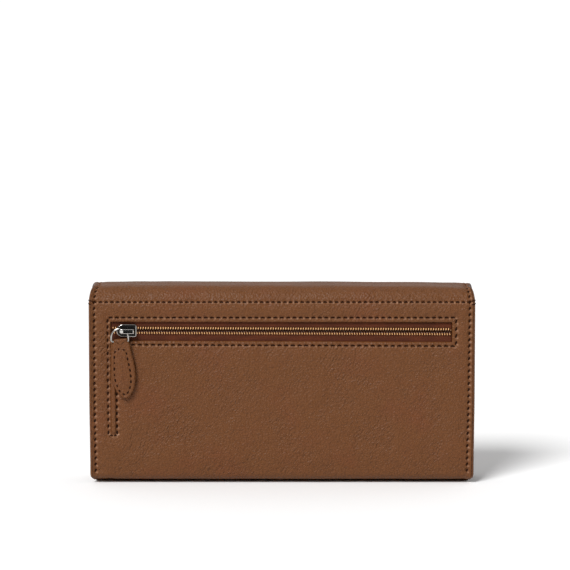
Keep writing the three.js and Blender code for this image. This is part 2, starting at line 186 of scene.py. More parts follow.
class Look:
    """A material's node tree, with short ways to add nodes to it."""

    def __init__(self, name, roughness, metallic=0.0, specular=0.5):
        self.material = bpy.data.materials.new(name)
        self.material.use_nodes = True
        self.tree = self.material.node_tree
        self.shader = self.tree.nodes["Principled BSDF"]
        self.shader.inputs["Roughness"].default_value = roughness
        self.shader.inputs["Metallic"].default_value = metallic
        self.shader.inputs["Specular IOR Level"].default_value = specular

    def add(self, kind, inputs=(), **settings):
        node = self.tree.nodes.new("ShaderNode" + kind)
        for key, value in settings.items():
            setattr(node, key, value)
        for key, value in dict(inputs).items():
            self.feed(node.inputs[key], value)
        return node

    def feed(self, socket, value):
        if isinstance(value, bpy.types.NodeSocket):
            self.tree.links.new(value, socket)
        else:
            socket.default_value = value

    def math(self, operation, a, b=0.0):
        return self.add("Math", {0: a, 1: b}, operation=operation).outputs[0]

    def times(self, a, b):
        return self.math("MULTIPLY", a, b)

    def plus(self, a, b):
        return self.math("ADD", a, b)

    def place(self, scale=(1, 1, 1), turn=0.0):
        """The flat-pattern coordinates of the surface, turned and then scaled."""
        flat = self.add("Attribute", attribute_name="flat").outputs["Vector"]
        turned = self.add("Mapping", {"Vector": flat, "Rotation": (0, 0, turn)}).outputs["Vector"]
        return self.add("Mapping", {"Vector": turned, "Scale": scale}).outputs["Vector"]

    def noise(self, scale, detail=2.0, roughness=0.5, vector=None, distortion=0.0):
        inputs = {"Vector": vector or self.place(), "Scale": scale, "Detail": detail}
        inputs |= {"Roughness": roughness, "Distortion": distortion}
        return self.add("TexNoise", inputs).outputs["Fac"]

    def ramp(self, factor, low, high):
        """0 where factor is under low, 1 over high, smooth between."""
        inputs = {"Value": factor, "From Min": low, "From Max": high}
        return self.add("MapRange", inputs, interpolation_type="SMOOTHSTEP").outputs["Result"]

    def mix(self, factor, *colours):
        """Goes from the first colour to the second. Each is another node's output or a display colour."""
        node = self.add("Mix", {0: factor}, data_type="RGBA")
        for number, colour in zip((6, 7), colours):
            self.feed(node.inputs[number], linear(*colour) if isinstance(colour, tuple) else colour)
        return node.outputs[2]

    def bump(self, height, distance, strength=1.0, under=None):
        inputs = {"Height": height, "Distance": distance * MM, "Strength": strength}
        if under:
            inputs["Normal"] = under
        return self.add("Bump", inputs).outputs["Normal"]

    def finish(self, colour, normal=None, roughness=None):
        self.feed(self.shader.inputs["Base Color"], colour)
        if normal:
            self.feed(self.shader.inputs["Normal"], normal)
        if roughness:
            self.feed(self.shader.inputs["Roughness"], roughness)
        return self.material


def leather_look(name, colour, ruddy, dark, grain=0.95, streak=1.0):
    """Pebbled leather with slanting creases, lightened towards a pale tan by a painted highlight where its
    point attribute asks for one.
    grain is the pebbles' size in millimetres, and streak is how strong the creases are."""
    look = Look(name, 0.45, specular=0.22)
    wobble = look.add("TexNoise", {"Vector": look.place(), "Scale": 800.0, "Detail": 1.0}).outputs["Color"]
    shift = look.add("VectorMath", {0: wobble, "Scale": 0.0007}, operation="SCALE").outputs[0]
    warped = look.add("VectorMath", {0: look.place(), 1: shift}, operation="ADD").outputs[0]
    cells = look.add("TexVoronoi", {"Vector": warped, "Scale": 1 / (grain * MM), "Smoothness": 0.5},
                     feature="SMOOTH_F1")
    pebble = look.math("SUBTRACT", 1.0, cells.outputs["Distance"])
    pores = look.noise(2600.0, 3.0, 0.6)
    streaks = look.noise(1.0, 2.0, 0.5, look.place((950, 330, 500), 0.62), 0.6)
    where = look.ramp(look.noise(46.0, 2.0), 0.42, 0.62)
    streaks = look.times(streaks, look.plus(look.times(where, 0.94), 0.06))
    waves = look.noise(150.0, 2.0, 0.5)
    patches = look.ramp(look.noise(34.0, 3.0, 0.6), 0.45, 0.75)
    tint = look.mix(patches, colour, ruddy)
    gaps = look.math("SUBTRACT", 1.0, look.ramp(pebble, 0.25, 0.65))
    tint = look.mix(look.times(gaps, 0.2), tint, dark)
    mottle = look.ramp(look.noise(380.0, 3.0, 0.6), 0.35, 0.8)
    tint = look.mix(look.times(mottle, 0.1), tint, dark)
    # painted highlight: the spots beside each stitch turn pale tan, standing in for light caught on the
    # puckers
    highlight_share = look.add("Attribute", attribute_name="painted_highlight").outputs["Fac"]
    tint = look.mix(look.times(highlight_share, 0.55), tint, (190, 146, 116))
    normal = look.bump(waves, 0.4, 0.6)
    normal = look.bump(streaks, 0.85 * streak, 0.85, normal)
    normal = look.bump(pebble, 0.36, 1.0, normal)
    normal = look.bump(pores, 0.06, 0.6, normal)
    gloss = look.plus(look.times(look.noise(200.0, 3.0), 0.18), 0.36)
    return look.finish(tint, normal, gloss)


COIL_PITCH = 1.23  # one turn of the zip's coil


def coil_look():
    """Brown nylon with a painted gold highlight on the front of each turn, where it rounds over the tape."""
    look = Look("nylon_coil", 0.3, specular=0.6)
    flat = look.add("Attribute", attribute_name="flat").outputs["Vector"]
    place = look.add("SeparateXYZ", {"Vector": flat})
    far = look.math("ABSOLUTE", place.outputs["Z"])
    painted_glint = look.times(look.ramp(far, 0.6 * MM, 0.95 * MM),
                      look.math("SUBTRACT", 1.0, look.ramp(far, 1.55 * MM, 1.85 * MM)))
    turn = look.times(place.outputs["X"], 2 * math.pi / (COIL_PITCH * MM))
    painted_glint = look.times(painted_glint, look.ramp(look.math("COSINE", turn), 0.0, 0.7))
    front = look.math("SUBTRACT", 1.0, look.ramp(place.outputs["Y"], 0.25 * MM, 0.5 * MM))
    painted_glint = look.times(painted_glint, front)
    # painted highlight: gold only on the front crest of each turn, dark brown elsewhere
    tint = look.mix(painted_glint, (62, 34, 18), (248, 190, 124))
    tint = look.mix(look.times(look.noise(1500.0, 2.0), 0.2), tint, (110, 70, 40))
    return look.finish(tint, look.bump(look.noise(2500.0, 2.0), 0.02, 0.4))


def edge_look():
    look = Look("painted_edge", 0.5, specular=0.2)
    tint = look.mix(look.noise(300.0, 3.0), (50, 27, 20), (66, 36, 26))
    return look.finish(tint, look.bump(look.noise(900.0, 2.0), 0.08, 0.5))


def thread_look(name, light, dark):
    look = Look(name, 0.7, specular=0.06)
    ply = look.add("TexWave", {"Vector": look.place((1, 1, 1), 0.7), "Scale": 1400.0, "Distortion": 1.5})
    tint = look.mix(ply.outputs["Fac"], light, dark)
    return look.finish(tint, look.bump(ply.outputs["Fac"], 0.05, 0.6))


WAVE_BANDS = 3.2  # bands in one unit of Blender's wave texture at scale 1


def woven_look(name, light, dark, pitch):
    """Cloth whose threads lie pitch millimetres apart."""
    look = Look(name, 0.85, specular=0.2)
    bands = []
    for direction in ("X", "Y"):
        inputs = {"Vector": look.place(), "Scale": 1 / (pitch * MM) / WAVE_BANDS, "Distortion": 0.6}
        bands.append(look.add("TexWave", inputs, bands_direction=direction).outputs["Fac"])
    weave = look.times(*bands)
    fuzz = look.noise(1800.0, 3.0, 0.6)
    cover = look.plus(look.times(weave, 0.7), look.times(fuzz, 0.3))
    tint = look.mix(cover, dark, light)
    normal = look.bump(weave, 0.12, 0.8)
    return look.finish(tint, look.bump(fuzz, 0.05, 0.5, normal))


def metal_look(name, colour, wear_and_highlight, roughness):
    """Plated metal with soft scuffs of a second colour."""
    look = Look(name, roughness, metallic=1.0)
    scuffs = look.ramp(look.noise(700.0, 4.0, 0.65), 0.5, 0.8)
    tint = look.mix(scuffs, colour, wear_and_highlight)
    rough = look.plus(look.times(look.noise(1500.0, 3.0), 0.14), roughness - 0.07)
    return look.finish(tint, look.bump(look.noise(900.0, 2.0), 0.02, 0.3), rough)


def board_look():
    look = Look("grey_board", 0.95, specular=0.1)
    fibres = look.noise(900.0, 4.0, 0.7)
    tint = look.mix(fibres, (176, 162, 132), (142, 128, 102))
    return look.finish(tint, look.bump(fibres, 0.05, 0.5))


LOOKS = {
    "leather": leather_look("brown_leather", (104, 63, 31), (106, 61, 31), (60, 32, 15)),
    "inner": leather_look("inner_leather", (110, 72, 48), (114, 70, 46), (64, 38, 24), 0.6, 0.25),
    "edge": edge_look(),
    # thread: dark brown, made darker than its own tone to stand in for the shade of its groove; partly own
    # colour, partly painted shade
    "thread": thread_look("thread", (52, 25, 12), (30, 13, 6)),
    # painted shade: near-black discs that stand in for the shade inside each needle hole's pit
    "hole_shade": thread_look("needle_hole_shade", (26, 11, 5), (18, 8, 4)),
    "lining": woven_look("lining_cloth", (96, 66, 48), (60, 40, 28), 0.45),
    "tape": woven_look("zip_tape", (122, 62, 34), (58, 26, 13), 0.55),
    "coil": coil_look(),
    "gunmetal": metal_look("gunmetal", (34, 34, 33), (60, 60, 58), 0.2),
    # painted highlight: bright metal on the slider's crown nose, rim, end bar and front edges
    "wear_and_highlight": metal_look("highlight_metal", (205, 203, 198), (150, 148, 144), 0.14),
    "ring": metal_look("ring_wire", (176, 172, 166), (130, 126, 120), 0.16),
    "snap": metal_look("snap_nickel", (190, 188, 182), (150, 148, 142), 0.28),
    "board": board_look(),
}


# ---------------------------------------------------------------- meshes
def noise2(u, v, cell, seed):
    """Smooth value noise from -1 to 1 over two arrays of millimetres, on a lattice cell millimetres wide."""
    random = np.random.default_rng(RANDOM_SEED + seed)
    lattice = random.uniform(-1, 1, (LATTICE, LATTICE))
    column, row = np.asarray(u) / cell, np.asarray(v) / cell
    i, j = np.floor(column).astype(int), np.floor(row).astype(int)
    a, b = column - i, row - j
    a, b = a * a * (3 - 2 * a), b * b * (3 - 2 * b)

    def at(p, q):
        return lattice[p % LATTICE, q % LATTICE]

    low = at(i, j) * (1 - a) + at(i + 1, j) * a
    high = at(i, j + 1) * (1 - a) + at(i + 1, j + 1) * a
    return low * (1 - b) + high * b


def smooth_step(value, low, high):
    """0 up to low, 1 from high on, smooth between."""
    share = np.clip((np.asarray(value, float) - low) / (high - low), 0, 1)
    return share * share * (3 - 2 * share)


def build(name, vertices, faces, look, flat=None, sharp=None, kinds=None, painted_highlight=None):
    """A mesh object from millimetre vertices. look is one name, or several with a kind for each face.
    The last argument says, for the first vertices, how much painted highlight lightens each one."""
    vertices = np.asarray(vertices, float).reshape(-1, 3)
    mesh = bpy.data.meshes.new(name)
    mesh.from_pydata((vertices * MM).tolist(), [], faces)
    for one in [look] if isinstance(look, str) else look:
        mesh.materials.append(LOOKS[one])
    if kinds is not None:
        mesh.polygons.foreach_set("material_index", np.asarray(kinds, np.int32))
    mesh.polygons.foreach_set("use_smooth", np.ones(len(mesh.polygons), bool))
    if sharp:
        mesh.set_sharp_from_angle(angle=math.radians(sharp))
    flat = vertices if flat is None else np.asarray(flat, float).reshape(-1, 3)
    attribute = mesh.attributes.new("flat", "FLOAT_VECTOR", "POINT")
    attribute.data.foreach_set("vector", (flat * MM).astype(np.float32).ravel())
    if painted_highlight is not None:
        shares = np.zeros(len(vertices), np.float32)
        shares[:painted_highlight.size] = painted_highlight.ravel()
        mesh.attributes.new("painted_highlight", "FLOAT", "POINT").data.foreach_set("value", shares)
    mesh.update()
    piece = bpy.data.objects.new(name, mesh)
    bpy.context.scene.collection.objects.link(piece)
    return piece


def place_piece(piece, body=None, bend=None, nodes=()):
    """Attaches a piece to the body it rides on, or, given a bend, bakes its transform into its mesh; and
    hides the CAD nodes that it stands for.
    """
    if bend:
        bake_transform(piece)
    else:
        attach(piece, body)
    if nodes:
        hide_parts(*nodes)


def grid_faces(rows, columns, start=0, flip=False):
    """The faces of a grid whose first vertex is number start."""
    corner = start + (np.arange(rows - 1)[:, None] * columns + np.arange(columns - 1)[None, :]).ravel()
    quads = np.stack([corner, corner + 1, corner + columns + 1, corner + columns], 1)
    return (quads[:, ::-1] if flip else quads).tolist()


def grid_border(rows, columns):
    """The grid's border vertices in order round it."""
    border = list(range(columns - 1))
    border += [i * columns + columns - 1 for i in range(rows - 1)]
    border += [(rows - 1) * columns + j for j in range(columns - 1, 0, -1)]
    border += [i * columns for i in range(rows - 1, 0, -1)]
    return border


def slab_faces(rows, columns):
    """The faces of a closed sheet: two grids of the same shape, one after the other, and their walls."""
    count = rows * columns
    ring = grid_border(rows, columns)
    walls = [(b, a, a + count, b + count) for a, b in zip(ring, ring[1:] + ring[:1])]
    return grid_faces(rows, columns) + grid_faces(rows, columns, count, flip=True) + walls


def slab(name, top, bottom, look, flat=None):
    """A closed sheet between two grids of points. flat is the pattern of both."""
    faces = slab_faces(*top.shape[:2])
    if flat is not None:
        flat = np.stack([flat, flat])
    return build(name, np.stack([top, bottom]), faces, look, flat)


def tube_rings(route, radius, sides, flatten=1.0):
    """Rings of vertices round a route of points. radius is one number or one for each point, and flatten
    scales the rings along the direction that faces out."""
    route = np.asarray(route, float)
    ahead = np.gradient(route, axis=0)
    ahead /= np.linalg.norm(ahead, axis=1)[:, None]
    across = np.cross(ahead, np.array([0.0, 1.0, 0.0]))
    across[np.linalg.norm(across, axis=1) < 1e-3] = np.array([1.0, 0.0, 0.0])
    across /= np.linalg.norm(across, axis=1)[:, None]
    out = np.cross(across, ahead)
    angle = np.linspace(0, 2 * np.pi, sides, endpoint=False)
    size = np.broadcast_to(np.asarray(radius, float), (len(route),))[:, None, None]
    return (
        route[:, None, :]
        + size * np.cos(angle)[None, :, None] * across[:, None, :]
        + size * flatten * np.sin(angle)[None, :, None] * out[:, None, :]
    )


def tube_faces(rings, sides, closed=False):
    """The wall between rings of vertices, with a cap at each end unless it closes on itself."""
    faces = []
    for i in range(rings if closed else rings - 1):
        here, ahead = i * sides, (i + 1) % rings * sides
        for k in range(sides):
            m = (k + 1) % sides
            faces.append((here + k, ahead + k, ahead + m, here + m))
    if not closed:
        faces.append(tuple(range(sides)))
        faces.append(tuple(range(rings * sides - 1, (rings - 1) * sides - 1, -1)))
    return faces


def tube(name, route, radius, look, sides, closed=False):
    rings = tube_rings(route, radius, sides)
    if closed:
        count = len(route)
        rings = tube_rings(np.concatenate([route, route, route]), radius, sides)[count:2 * count]
    return build(name, rings, tube_faces(len(route), sides, closed), look)


# ---------------------------------------------------------------- the leather's path round the wallet
class Route:
    """A line in Y and Z made of straights and arcs. side is 1 where the outside is on the line's left."""

    def __init__(self, side, pieces):
        self.side = side
        self.pieces = pieces
        self.starts = np.cumsum([0.0] + [self.length(p) for p in pieces])
        self.end = self.starts[-1]

    @staticmethod
    def length(piece):
        if piece[0] == "line":
            return math.dist(piece[1], piece[2])
        return abs(piece[4] - piece[3]) * piece[2]

    def at(self, s):
        s = np.asarray(s, float)
        y, z, out_y, out_z = (np.zeros_like(s) for _ in range(4))
        for k, piece in enumerate(self.pieces):
            low = self.starts[k] if k else -1e9
            high = self.starts[k + 1] if k < len(self.pieces) - 1 else 1e9
            here = (s >= low) & (s <= high)
            along = s[here] - self.starts[k]
            if piece[0] == "line":
                first, last = np.array(piece[1]), np.array(piece[2])
                step = (last - first) / math.dist(first, last)
                y[here], z[here] = first[0] + step[0] * along, first[1] + step[1] * along
                out_y[here], out_z[here] = -step[1] * self.side, step[0] * self.side
            else:
                _, centre, radius, start, stop = piece
                angle = start + (stop - start) * along / self.length(piece)
                y[here], z[here] = centre[0] + radius * np.cos(angle), centre[1] + radius * np.sin(angle)
                out_y[here], out_z[here] = np.cos(angle), np.sin(angle)
        return y, z, out_y, out_z

    def lay(self, x, s, depth):
        """Points at x, at s along the route and depth under the outer surface."""
        x, s, depth = np.broadcast_arrays(x, s, depth)
        y, z, out_y, out_z = self.at(s)
        return np.stack([x, y - out_y * depth, z - out_z * depth], -1)


BACK_ROUTE = Route(1, [
    ("line", (BASE_Y, 0), (BACK_Y + BACK_FOOT, 0)),
    ("arc", (BACK_Y + BACK_FOOT, BACK_FOOT), BACK_FOOT, 1.5 * math.pi, math.pi),
    ("line", (BACK_Y, BACK_FOOT), (BACK_Y, TOP_Z - BEND)),
    ("arc", (BACK_Y + BEND, TOP_Z - BEND), BEND, math.pi, math.pi / 2),
    ("line", (BACK_Y + BEND, TOP_Z), (FLAP_Y - BEND, TOP_Z)),
    ("arc", (FLAP_Y - BEND, TOP_Z - BEND), BEND, math.pi / 2, 0),
    ("line", (FLAP_Y, TOP_Z - BEND), (FLAP_Y, TIP_Z)),
])
FRONT_ROUTE = Route(-1, [
    ("line", (BASE_Y, 0), (FRONT_Y - FOOT, 0)),
    ("arc", (FRONT_Y - FOOT, FOOT), FOOT, 1.5 * math.pi, 2 * math.pi),
    ("line", (FRONT_Y, FOOT), (FRONT_Y, FRONT_TOP)),
])
PANEL_S = BACK_ROUTE.starts[2]  # the back's flat part starts here
REAR_BEND_S = BACK_ROUTE.starts[3]
ARCH_S = (BACK_ROUTE.starts[4] + BACK_ROUTE.starts[5]) / 2
FLAP_S = BACK_ROUTE.starts[6]
FRONT_S = FRONT_ROUTE.starts[2]

REAR_BEND = ("back", "flap_top", (0, BACK_Y, TOP_Z - BEND), (0, BACK_Y + BEND, TOP_Z))
FRONT_BEND = ("flap_top", "flap_front", (0, FLAP_Y - BEND, TOP_Z), (0, FLAP_Y, TOP_Z - BEND))
FOOT_BEND = ("back", "front", (0, FRONT_Y - FOOT, 0), (0, FRONT_Y, FOOT))


def s_of(z):
    """The place along the back's leather at height z on its flat part, counted on into the bend."""
    return PANEL_S + z - BACK_FOOT


def flap_s(z):
    """The place along the leather at height z on the flap's front."""
    return FLAP_S + TOP_Z - BEND - z


TOP_DROP = 0.45  # how far the top falls from its middle to its right end, and at both corners
CORNER_DROP = 0.4
ZIP_DROP = 0.35  # how far the zip falls from its middle to its right end
ZIP_REACH = 85.0


def top_sag(x, s):
    """The wallet's top runs down a little to the right."""
    over = smooth_step(s, REAR_BEND_S + 3, ARCH_S - 1.5) * (1 - smooth_step(s, ARCH_S + 1.5, FLAP_S - 3))
    return -(TOP_DROP * x / HALF + CORNER_DROP * smooth_step(np.abs(x), HALF - 30, HALF - 2)) * over


def zip_slope(x, z):
    """The zip and its window run down a little to the right: how much higher the leather at height z lies."""
    near = smooth_step(z, 50, 68) * (1 - smooth_step(z, 77.5, 82.3)) * (1 - smooth_step(np.abs(x), 87, 93))
    return -ZIP_DROP * np.asarray(x) / ZIP_REACH * near


# ---------------------------------------------------------------- stitching
class Seam:
    """A row of stitches between two flat-pattern points (x, s). Each stitch leans by slant radians."""

    def __init__(self, first, last, pitch, share=0.64, slant=0.0, arch=0.2, thick=0.27):
        self.first, self.last = np.array(first, float), np.array(last, float)
        length = np.linalg.norm(self.last - self.first)
        self.count = max(1, round(length / pitch))
        self.along = (self.last - self.first) / length
        self.across = np.array([-self.along[1], self.along[0]])
        self.pitch = length / self.count
        self.half = self.pitch * share / 2
        self.arch, self.thick = arch, thick
        self.ahead = self.along * math.cos(slant) + self.across * math.sin(slant)
        self.aside = np.array([-self.ahead[1], self.ahead[0]])

    def middles(self):
        return [self.first + self.along * self.pitch * (k + 0.5) for k in range(self.count)]

    def stitch(self, middle, t):
        """Points of one stitch, t from -1 to 1; it arches to one side."""
        t = np.asarray(t, float)[:, None]
        return middle + self.ahead * self.half * t + self.aside * self.arch * (1 - t * t)


def upright(x, low, high, pitch=3.1, slant=-0.42):
    """A seam up the wallet, of short leaning stitches."""
    return Seam((x[0], low), (x[1], high), pitch, share=0.52, slant=slant, arch=0.0, thick=0.34)


FRAME_LEFT, FRAME_RIGHT = -85.7, 85.6
FRAME_TOP, FRAME_BOTTOM = s_of(82.7), s_of(68.9)
LEG_RIGHT = -81.35
LEG_FOOT = s_of(23.9)
FLAP_LINE = s_of(90.5)
SIDE_FOOT = s_of(5.0)
BACK_SEAMS = [
    upright((-HALF + 2.7, -HALF + 2.7), SIDE_FOOT, ARCH_S - 1.0),
    upright((HALF - 3.4, HALF - 2.6), SIDE_FOOT, ARCH_S - 1.0),
    Seam((-HALF + 1.6, FLAP_LINE), (HALF - 1.6, FLAP_LINE), 2.85),
    Seam((FRAME_LEFT, FRAME_TOP), (FRAME_RIGHT, FRAME_TOP), 3.1),
    Seam((LEG_RIGHT, FRAME_BOTTOM), (FRAME_RIGHT, FRAME_BOTTOM), 3.3),
    upright((FRAME_RIGHT, FRAME_RIGHT), FRAME_BOTTOM, FRAME_TOP, 3.3, -0.3),
    upright((FRAME_LEFT, FRAME_LEFT), LEG_FOOT, FRAME_TOP, 3.2, -0.2),
    upright((LEG_RIGHT, LEG_RIGHT), LEG_FOOT, FRAME_BOTTOM, 3.2, -0.1),
    Seam((FRAME_LEFT + 0.6, LEG_FOOT), (LEG_RIGHT, LEG_FOOT), 1.9, share=0.8, arch=0.35),
]
EDGE_INSET = 2.6
FLAP_END = flap_s(TIP_Z)
FLAP_CORNER = 9.0
FLAP_SEAMS = [
    upright((-HALF + EDGE_INSET, -HALF + EDGE_INSET), ARCH_S + 1.0, FLAP_END - FLAP_CORNER),
    upright((HALF - EDGE_INSET, HALF - EDGE_INSET), ARCH_S + 1.0, FLAP_END - FLAP_CORNER),
    Seam((-HALF + FLAP_CORNER, FLAP_END - EDGE_INSET), (HALF - FLAP_CORNER, FLAP_END - EDGE_INSET), 3.1),
]


def corner_seams(side):
    """The short stitches round one of the flap's front corners."""
    centre = np.array([side * (HALF - FLAP_CORNER), FLAP_END - FLAP_CORNER])
    radius = FLAP_CORNER - EDGE_INSET
    turn = np.linspace(0, math.pi / 2, 4)
    ends = [centre + radius * np.array([side * math.cos(a), math.sin(a)]) for a in turn]
    return [Seam(a, b, 3.2, share=0.6) for a, b in zip(ends, ends[1:])]


FLAP_SEAMS += corner_seams(-1) + corner_seams(1)
FRONT_INSET = 4.0
FRONT_LINE = FRONT_ROUTE.end - 2.4
FRONT_SEAMS = [
    upright((-HALF + FRONT_INSET, -HALF + FRONT_INSET), FRONT_S + 2, FRONT_ROUTE.end - 3),
    upright((HALF - FRONT_INSET, HALF - FRONT_INSET), FRONT_S + 2, FRONT_ROUTE.end - 3),
    Seam((-HALF + FRONT_INSET, FRONT_LINE), (HALF - FRONT_INSET, FRONT_LINE), 3.1),
]


THREAD_SHARE = 0.92  # the thread's length as a share of its stitch's, and its dark disc's, which is painted shade in the needle hole
HOLE_SHADE_SHARE = 1.12
HOLE_SHADE_MARGIN = 0.16  # how much wider than the thread its disc of painted hole shade is on each side


def stitches(name, seams, point):
    """Sunk threads over dark discs along seams; the discs are painted shade for the needle holes. point(x, s,
    up) gives points a height over the leather.
    """
    vertices, faces, kinds, flats = [], [], [], []

    def take(points, new_faces, kind, flat):
        start = len(vertices)
        vertices.extend(points.reshape(-1, 3).tolist())
        flats.extend(flat.reshape(-1, 3).tolist())
        faces.extend([tuple(start + i for i in face) for face in new_faces])
        kinds.extend([kind] * len(new_faces))

    sides, rim_count = 6, 12
    t = np.linspace(-1, 1, 7)
    sink = np.abs(t) ** 3
    thread_faces = tube_faces(len(t), sides)
    thread_height = 0.06 - 0.3 * sink
    hole_shade_height = np.array([0.0] * rim_count + [0.04] * rim_count + [0.05])
    angle = np.linspace(0, 2 * np.pi, rim_count, endpoint=False)
    fan = [(k, (k + 1) % rim_count, rim_count + (k + 1) % rim_count, rim_count + k) for k in range(rim_count)]
    fan += [(rim_count + k, rim_count + (k + 1) % rim_count, 2 * rim_count) for k in range(rim_count)]
    for seam in seams:
        for middle in seam.middles():
            line = seam.stitch(middle, t * THREAD_SHARE)
            route = point(line[:, 0], line[:, 1], thread_height)
            rings = tube_rings(route, seam.thick * (1 - 0.45 * sink), sides, 0.75)
            flat = np.repeat(np.concatenate([line, thread_height[:, None]], 1)[:, None, :], sides, 1)
            take(rings, thread_faces, 0, flat)
            # the disc round each stitch: painted shade for its needle holes
            around = seam.stitch(middle, np.cos(angle) * HOLE_SHADE_SHARE)
            rim = around + seam.aside * (np.sin(angle) * (seam.thick + HOLE_SHADE_MARGIN))[:, None]
            disc = np.concatenate([rim, middle + (rim - middle) * 0.6, middle[None, :]])
            flat = np.concatenate([disc, hole_shade_height[:, None]], 1)
            take(point(disc[:, 0], disc[:, 1], hole_shade_height), fan, 1, flat)
    return build(name, vertices, faces, ("thread", "hole_shade"), flats, kinds=kinds)


# ---------------------------------------------------------------- leather skins
EDGE_ROLL = 1.1  # radius of a turned leather edge
TURN_STEPS = 5  # lines round the turned edge
MARGIN = 6.5  # how far a turned edge reaches in on the inner side
NARROWING = 30.0  # a skin that narrows does so over this much of its width at each side
TOP_NARROWING = 1.9  # how much narrower the wallet is at each side over its top


def ticks(low, high, step, marks=(), fine=0.26, reach=1.4):
    """Grid lines from low to high about step apart, and fine ones within reach of each mark."""
    stops = {low, high}
    for mark in marks:
        stops |= {m for m in (mark - reach, mark, mark + reach) if low < m < high}
    stops = sorted(stops)
    runs = []
    for a, b in zip(stops, stops[1:]):
        near = any(abs((a + b) / 2 - mark) < reach for mark in marks)
        runs.append(np.linspace(a, b, max(1, math.ceil((b - a) / (fine if near else step) - 1e-6)) + 1))
    lines = np.unique(np.round(np.concatenate(runs), 4))
    return lines[np.concatenate([[True], np.diff(lines) > 0.02])]


class Skin:
    """Leather over a route. rise says how far its outer face stands proud, on grid lines x and s."""

    def __init__(self, route, x, s, relief, narrow, wall, shift=lambda x, s: 0.0):
        self.route, self.x, self.s = route, x, s
        self.narrow, self.wall, self.shift = narrow, wall, shift
        self.grid_x, self.grid_s = np.meshgrid(x, s)
        self.rise, self.painted_highlight = relief(self.grid_x, self.grid_s)

    def warp(self, x, s):
        """x on the finished leather, where its outline is narrower than the pattern's."""
        near = smooth_step(np.abs(x), HALF - NARROWING, HALF)
        return x - np.sign(x) * self.narrow(s) * near

    def rise_at(self, x, s):
        """The rise at any x and s, between the grid lines round them."""
        i = np.clip(np.searchsorted(self.x, x) - 1, 0, len(self.x) - 2)
        j = np.clip(np.searchsorted(self.s, s) - 1, 0, len(self.s) - 2)
        a = np.clip((x - self.x[i]) / (self.x[i + 1] - self.x[i]), 0, 1)
        b = np.clip((s - self.s[j]) / (self.s[j + 1] - self.s[j]), 0, 1)
        low = self.rise[j, i] * (1 - a) + self.rise[j, i + 1] * a
        high = self.rise[j + 1, i] * (1 - a) + self.rise[j + 1, i + 1] * a
        return low * (1 - b) + high * b

    def point(self, x, s, up):
        return self.route.lay(self.warp(x, s), s + self.shift(x, s), -self.rise_at(x, s) - up)

    def rolled_edge(self):
        """The turned edge's cross-section: how far in each line of it lies, how deep, and if it's painted.
        Depths count from the outer face up to TURN_STEPS lines, and from the inner face after them."""
        turn = np.linspace(0, math.pi / 2, TURN_STEPS + 1)[1:]
        lines = [(EDGE_ROLL * math.sin(a), EDGE_ROLL * (1 - math.cos(a)), k > 3) for k, a in enumerate(turn)]
        lines += [(EDGE_ROLL, 0.4, True), (EDGE_ROLL - 0.4, 0.0, True)]
        return lines + [(EDGE_ROLL - MARGIN / 2, 0.0, False), (EDGE_ROLL - MARGIN, 0.0, False)]

    def mesh(self, name, end=False):
        """The outer face, turned round both sides, and round the end too if end is true."""
        rows, columns = self.grid_x.shape
        across = self.warp(self.grid_x, self.grid_s)
        outer = self.route.lay(across, self.grid_s + self.shift(self.grid_x, self.grid_s), -self.rise)
        pattern = np.stack([self.grid_x, self.grid_s], -1)
        vertices, faces = [outer.reshape(-1, 3)], grid_faces(rows, columns, flip=self.route.side > 0)
        flats = [pattern.reshape(-1, 2)]
        kinds = [0] * len(faces)
        left = [(i, 0) for i in range(rows)]
        right = [(i, columns - 1) for i in range(rows - 1, -1, -1)]
        far = [(rows - 1, j) for j in range(1, columns - 1)]
        count = rows * columns
        for path in [left + far + right] if end else [left, right]:
            i, j = np.array(path).T
            flat = np.stack([across[i, j], self.grid_s[i, j]], -1)
            ahead = np.gradient(flat, axis=0)
            ahead /= np.linalg.norm(ahead, axis=1)[:, None]
            normal = np.stack([-ahead[:, 1], ahead[:, 0]], -1)
            thick, rise = self.wall(flat[:, 1]), self.rise[i, j]
            before = i * columns + j
            run, last_offset, last_depth = 0.0, 0.0, np.zeros(len(path))
            for number, (offset, drop, painted) in enumerate(self.rolled_edge()):
                if number < TURN_STEPS:
                    depth = np.minimum(drop - rise * (1 - drop / EDGE_ROLL), thick - 0.4)
                else:
                    depth = thick - drop
                spot = flat + normal * offset
                run += abs(offset - last_offset) + float(np.mean(np.abs(depth - last_depth)))
                last_offset, last_depth = offset, depth
                vertices.append(self.route.lay(spot[:, 0], spot[:, 1], depth))
                flats.append(pattern[i, j] + normal * run)
                now = count + np.arange(len(path))
                count += len(path)
                quads = np.stack([before[:-1], before[1:], now[1:], now[:-1]], 1)
                faces += (quads[:, ::-1] if self.route.side < 0 else quads).tolist()
                kinds += [1 if painted else 0] * (len(path) - 1)
                before = now
        flats = np.concatenate(flats)
        flats = np.concatenate([flats, np.zeros((len(flats), 1))], 1)
        look = ("leather", "edge")
        return build(name, np.concatenate(vertices), faces, look, flats, kinds=kinds, painted_highlight=self.painted_highlight)


GROOVE = 0.2  # how deep a seam pulls the leather in
PILLOW = 0.32  # how far leather swells between seams
PIT = 0.4  # how deep each stitch presses in
PUCKER = 0.3  # how far the leather stands up in the gap between two stitches
STITCH_REACH = 2.6  # a stitch shapes the leather this far round it


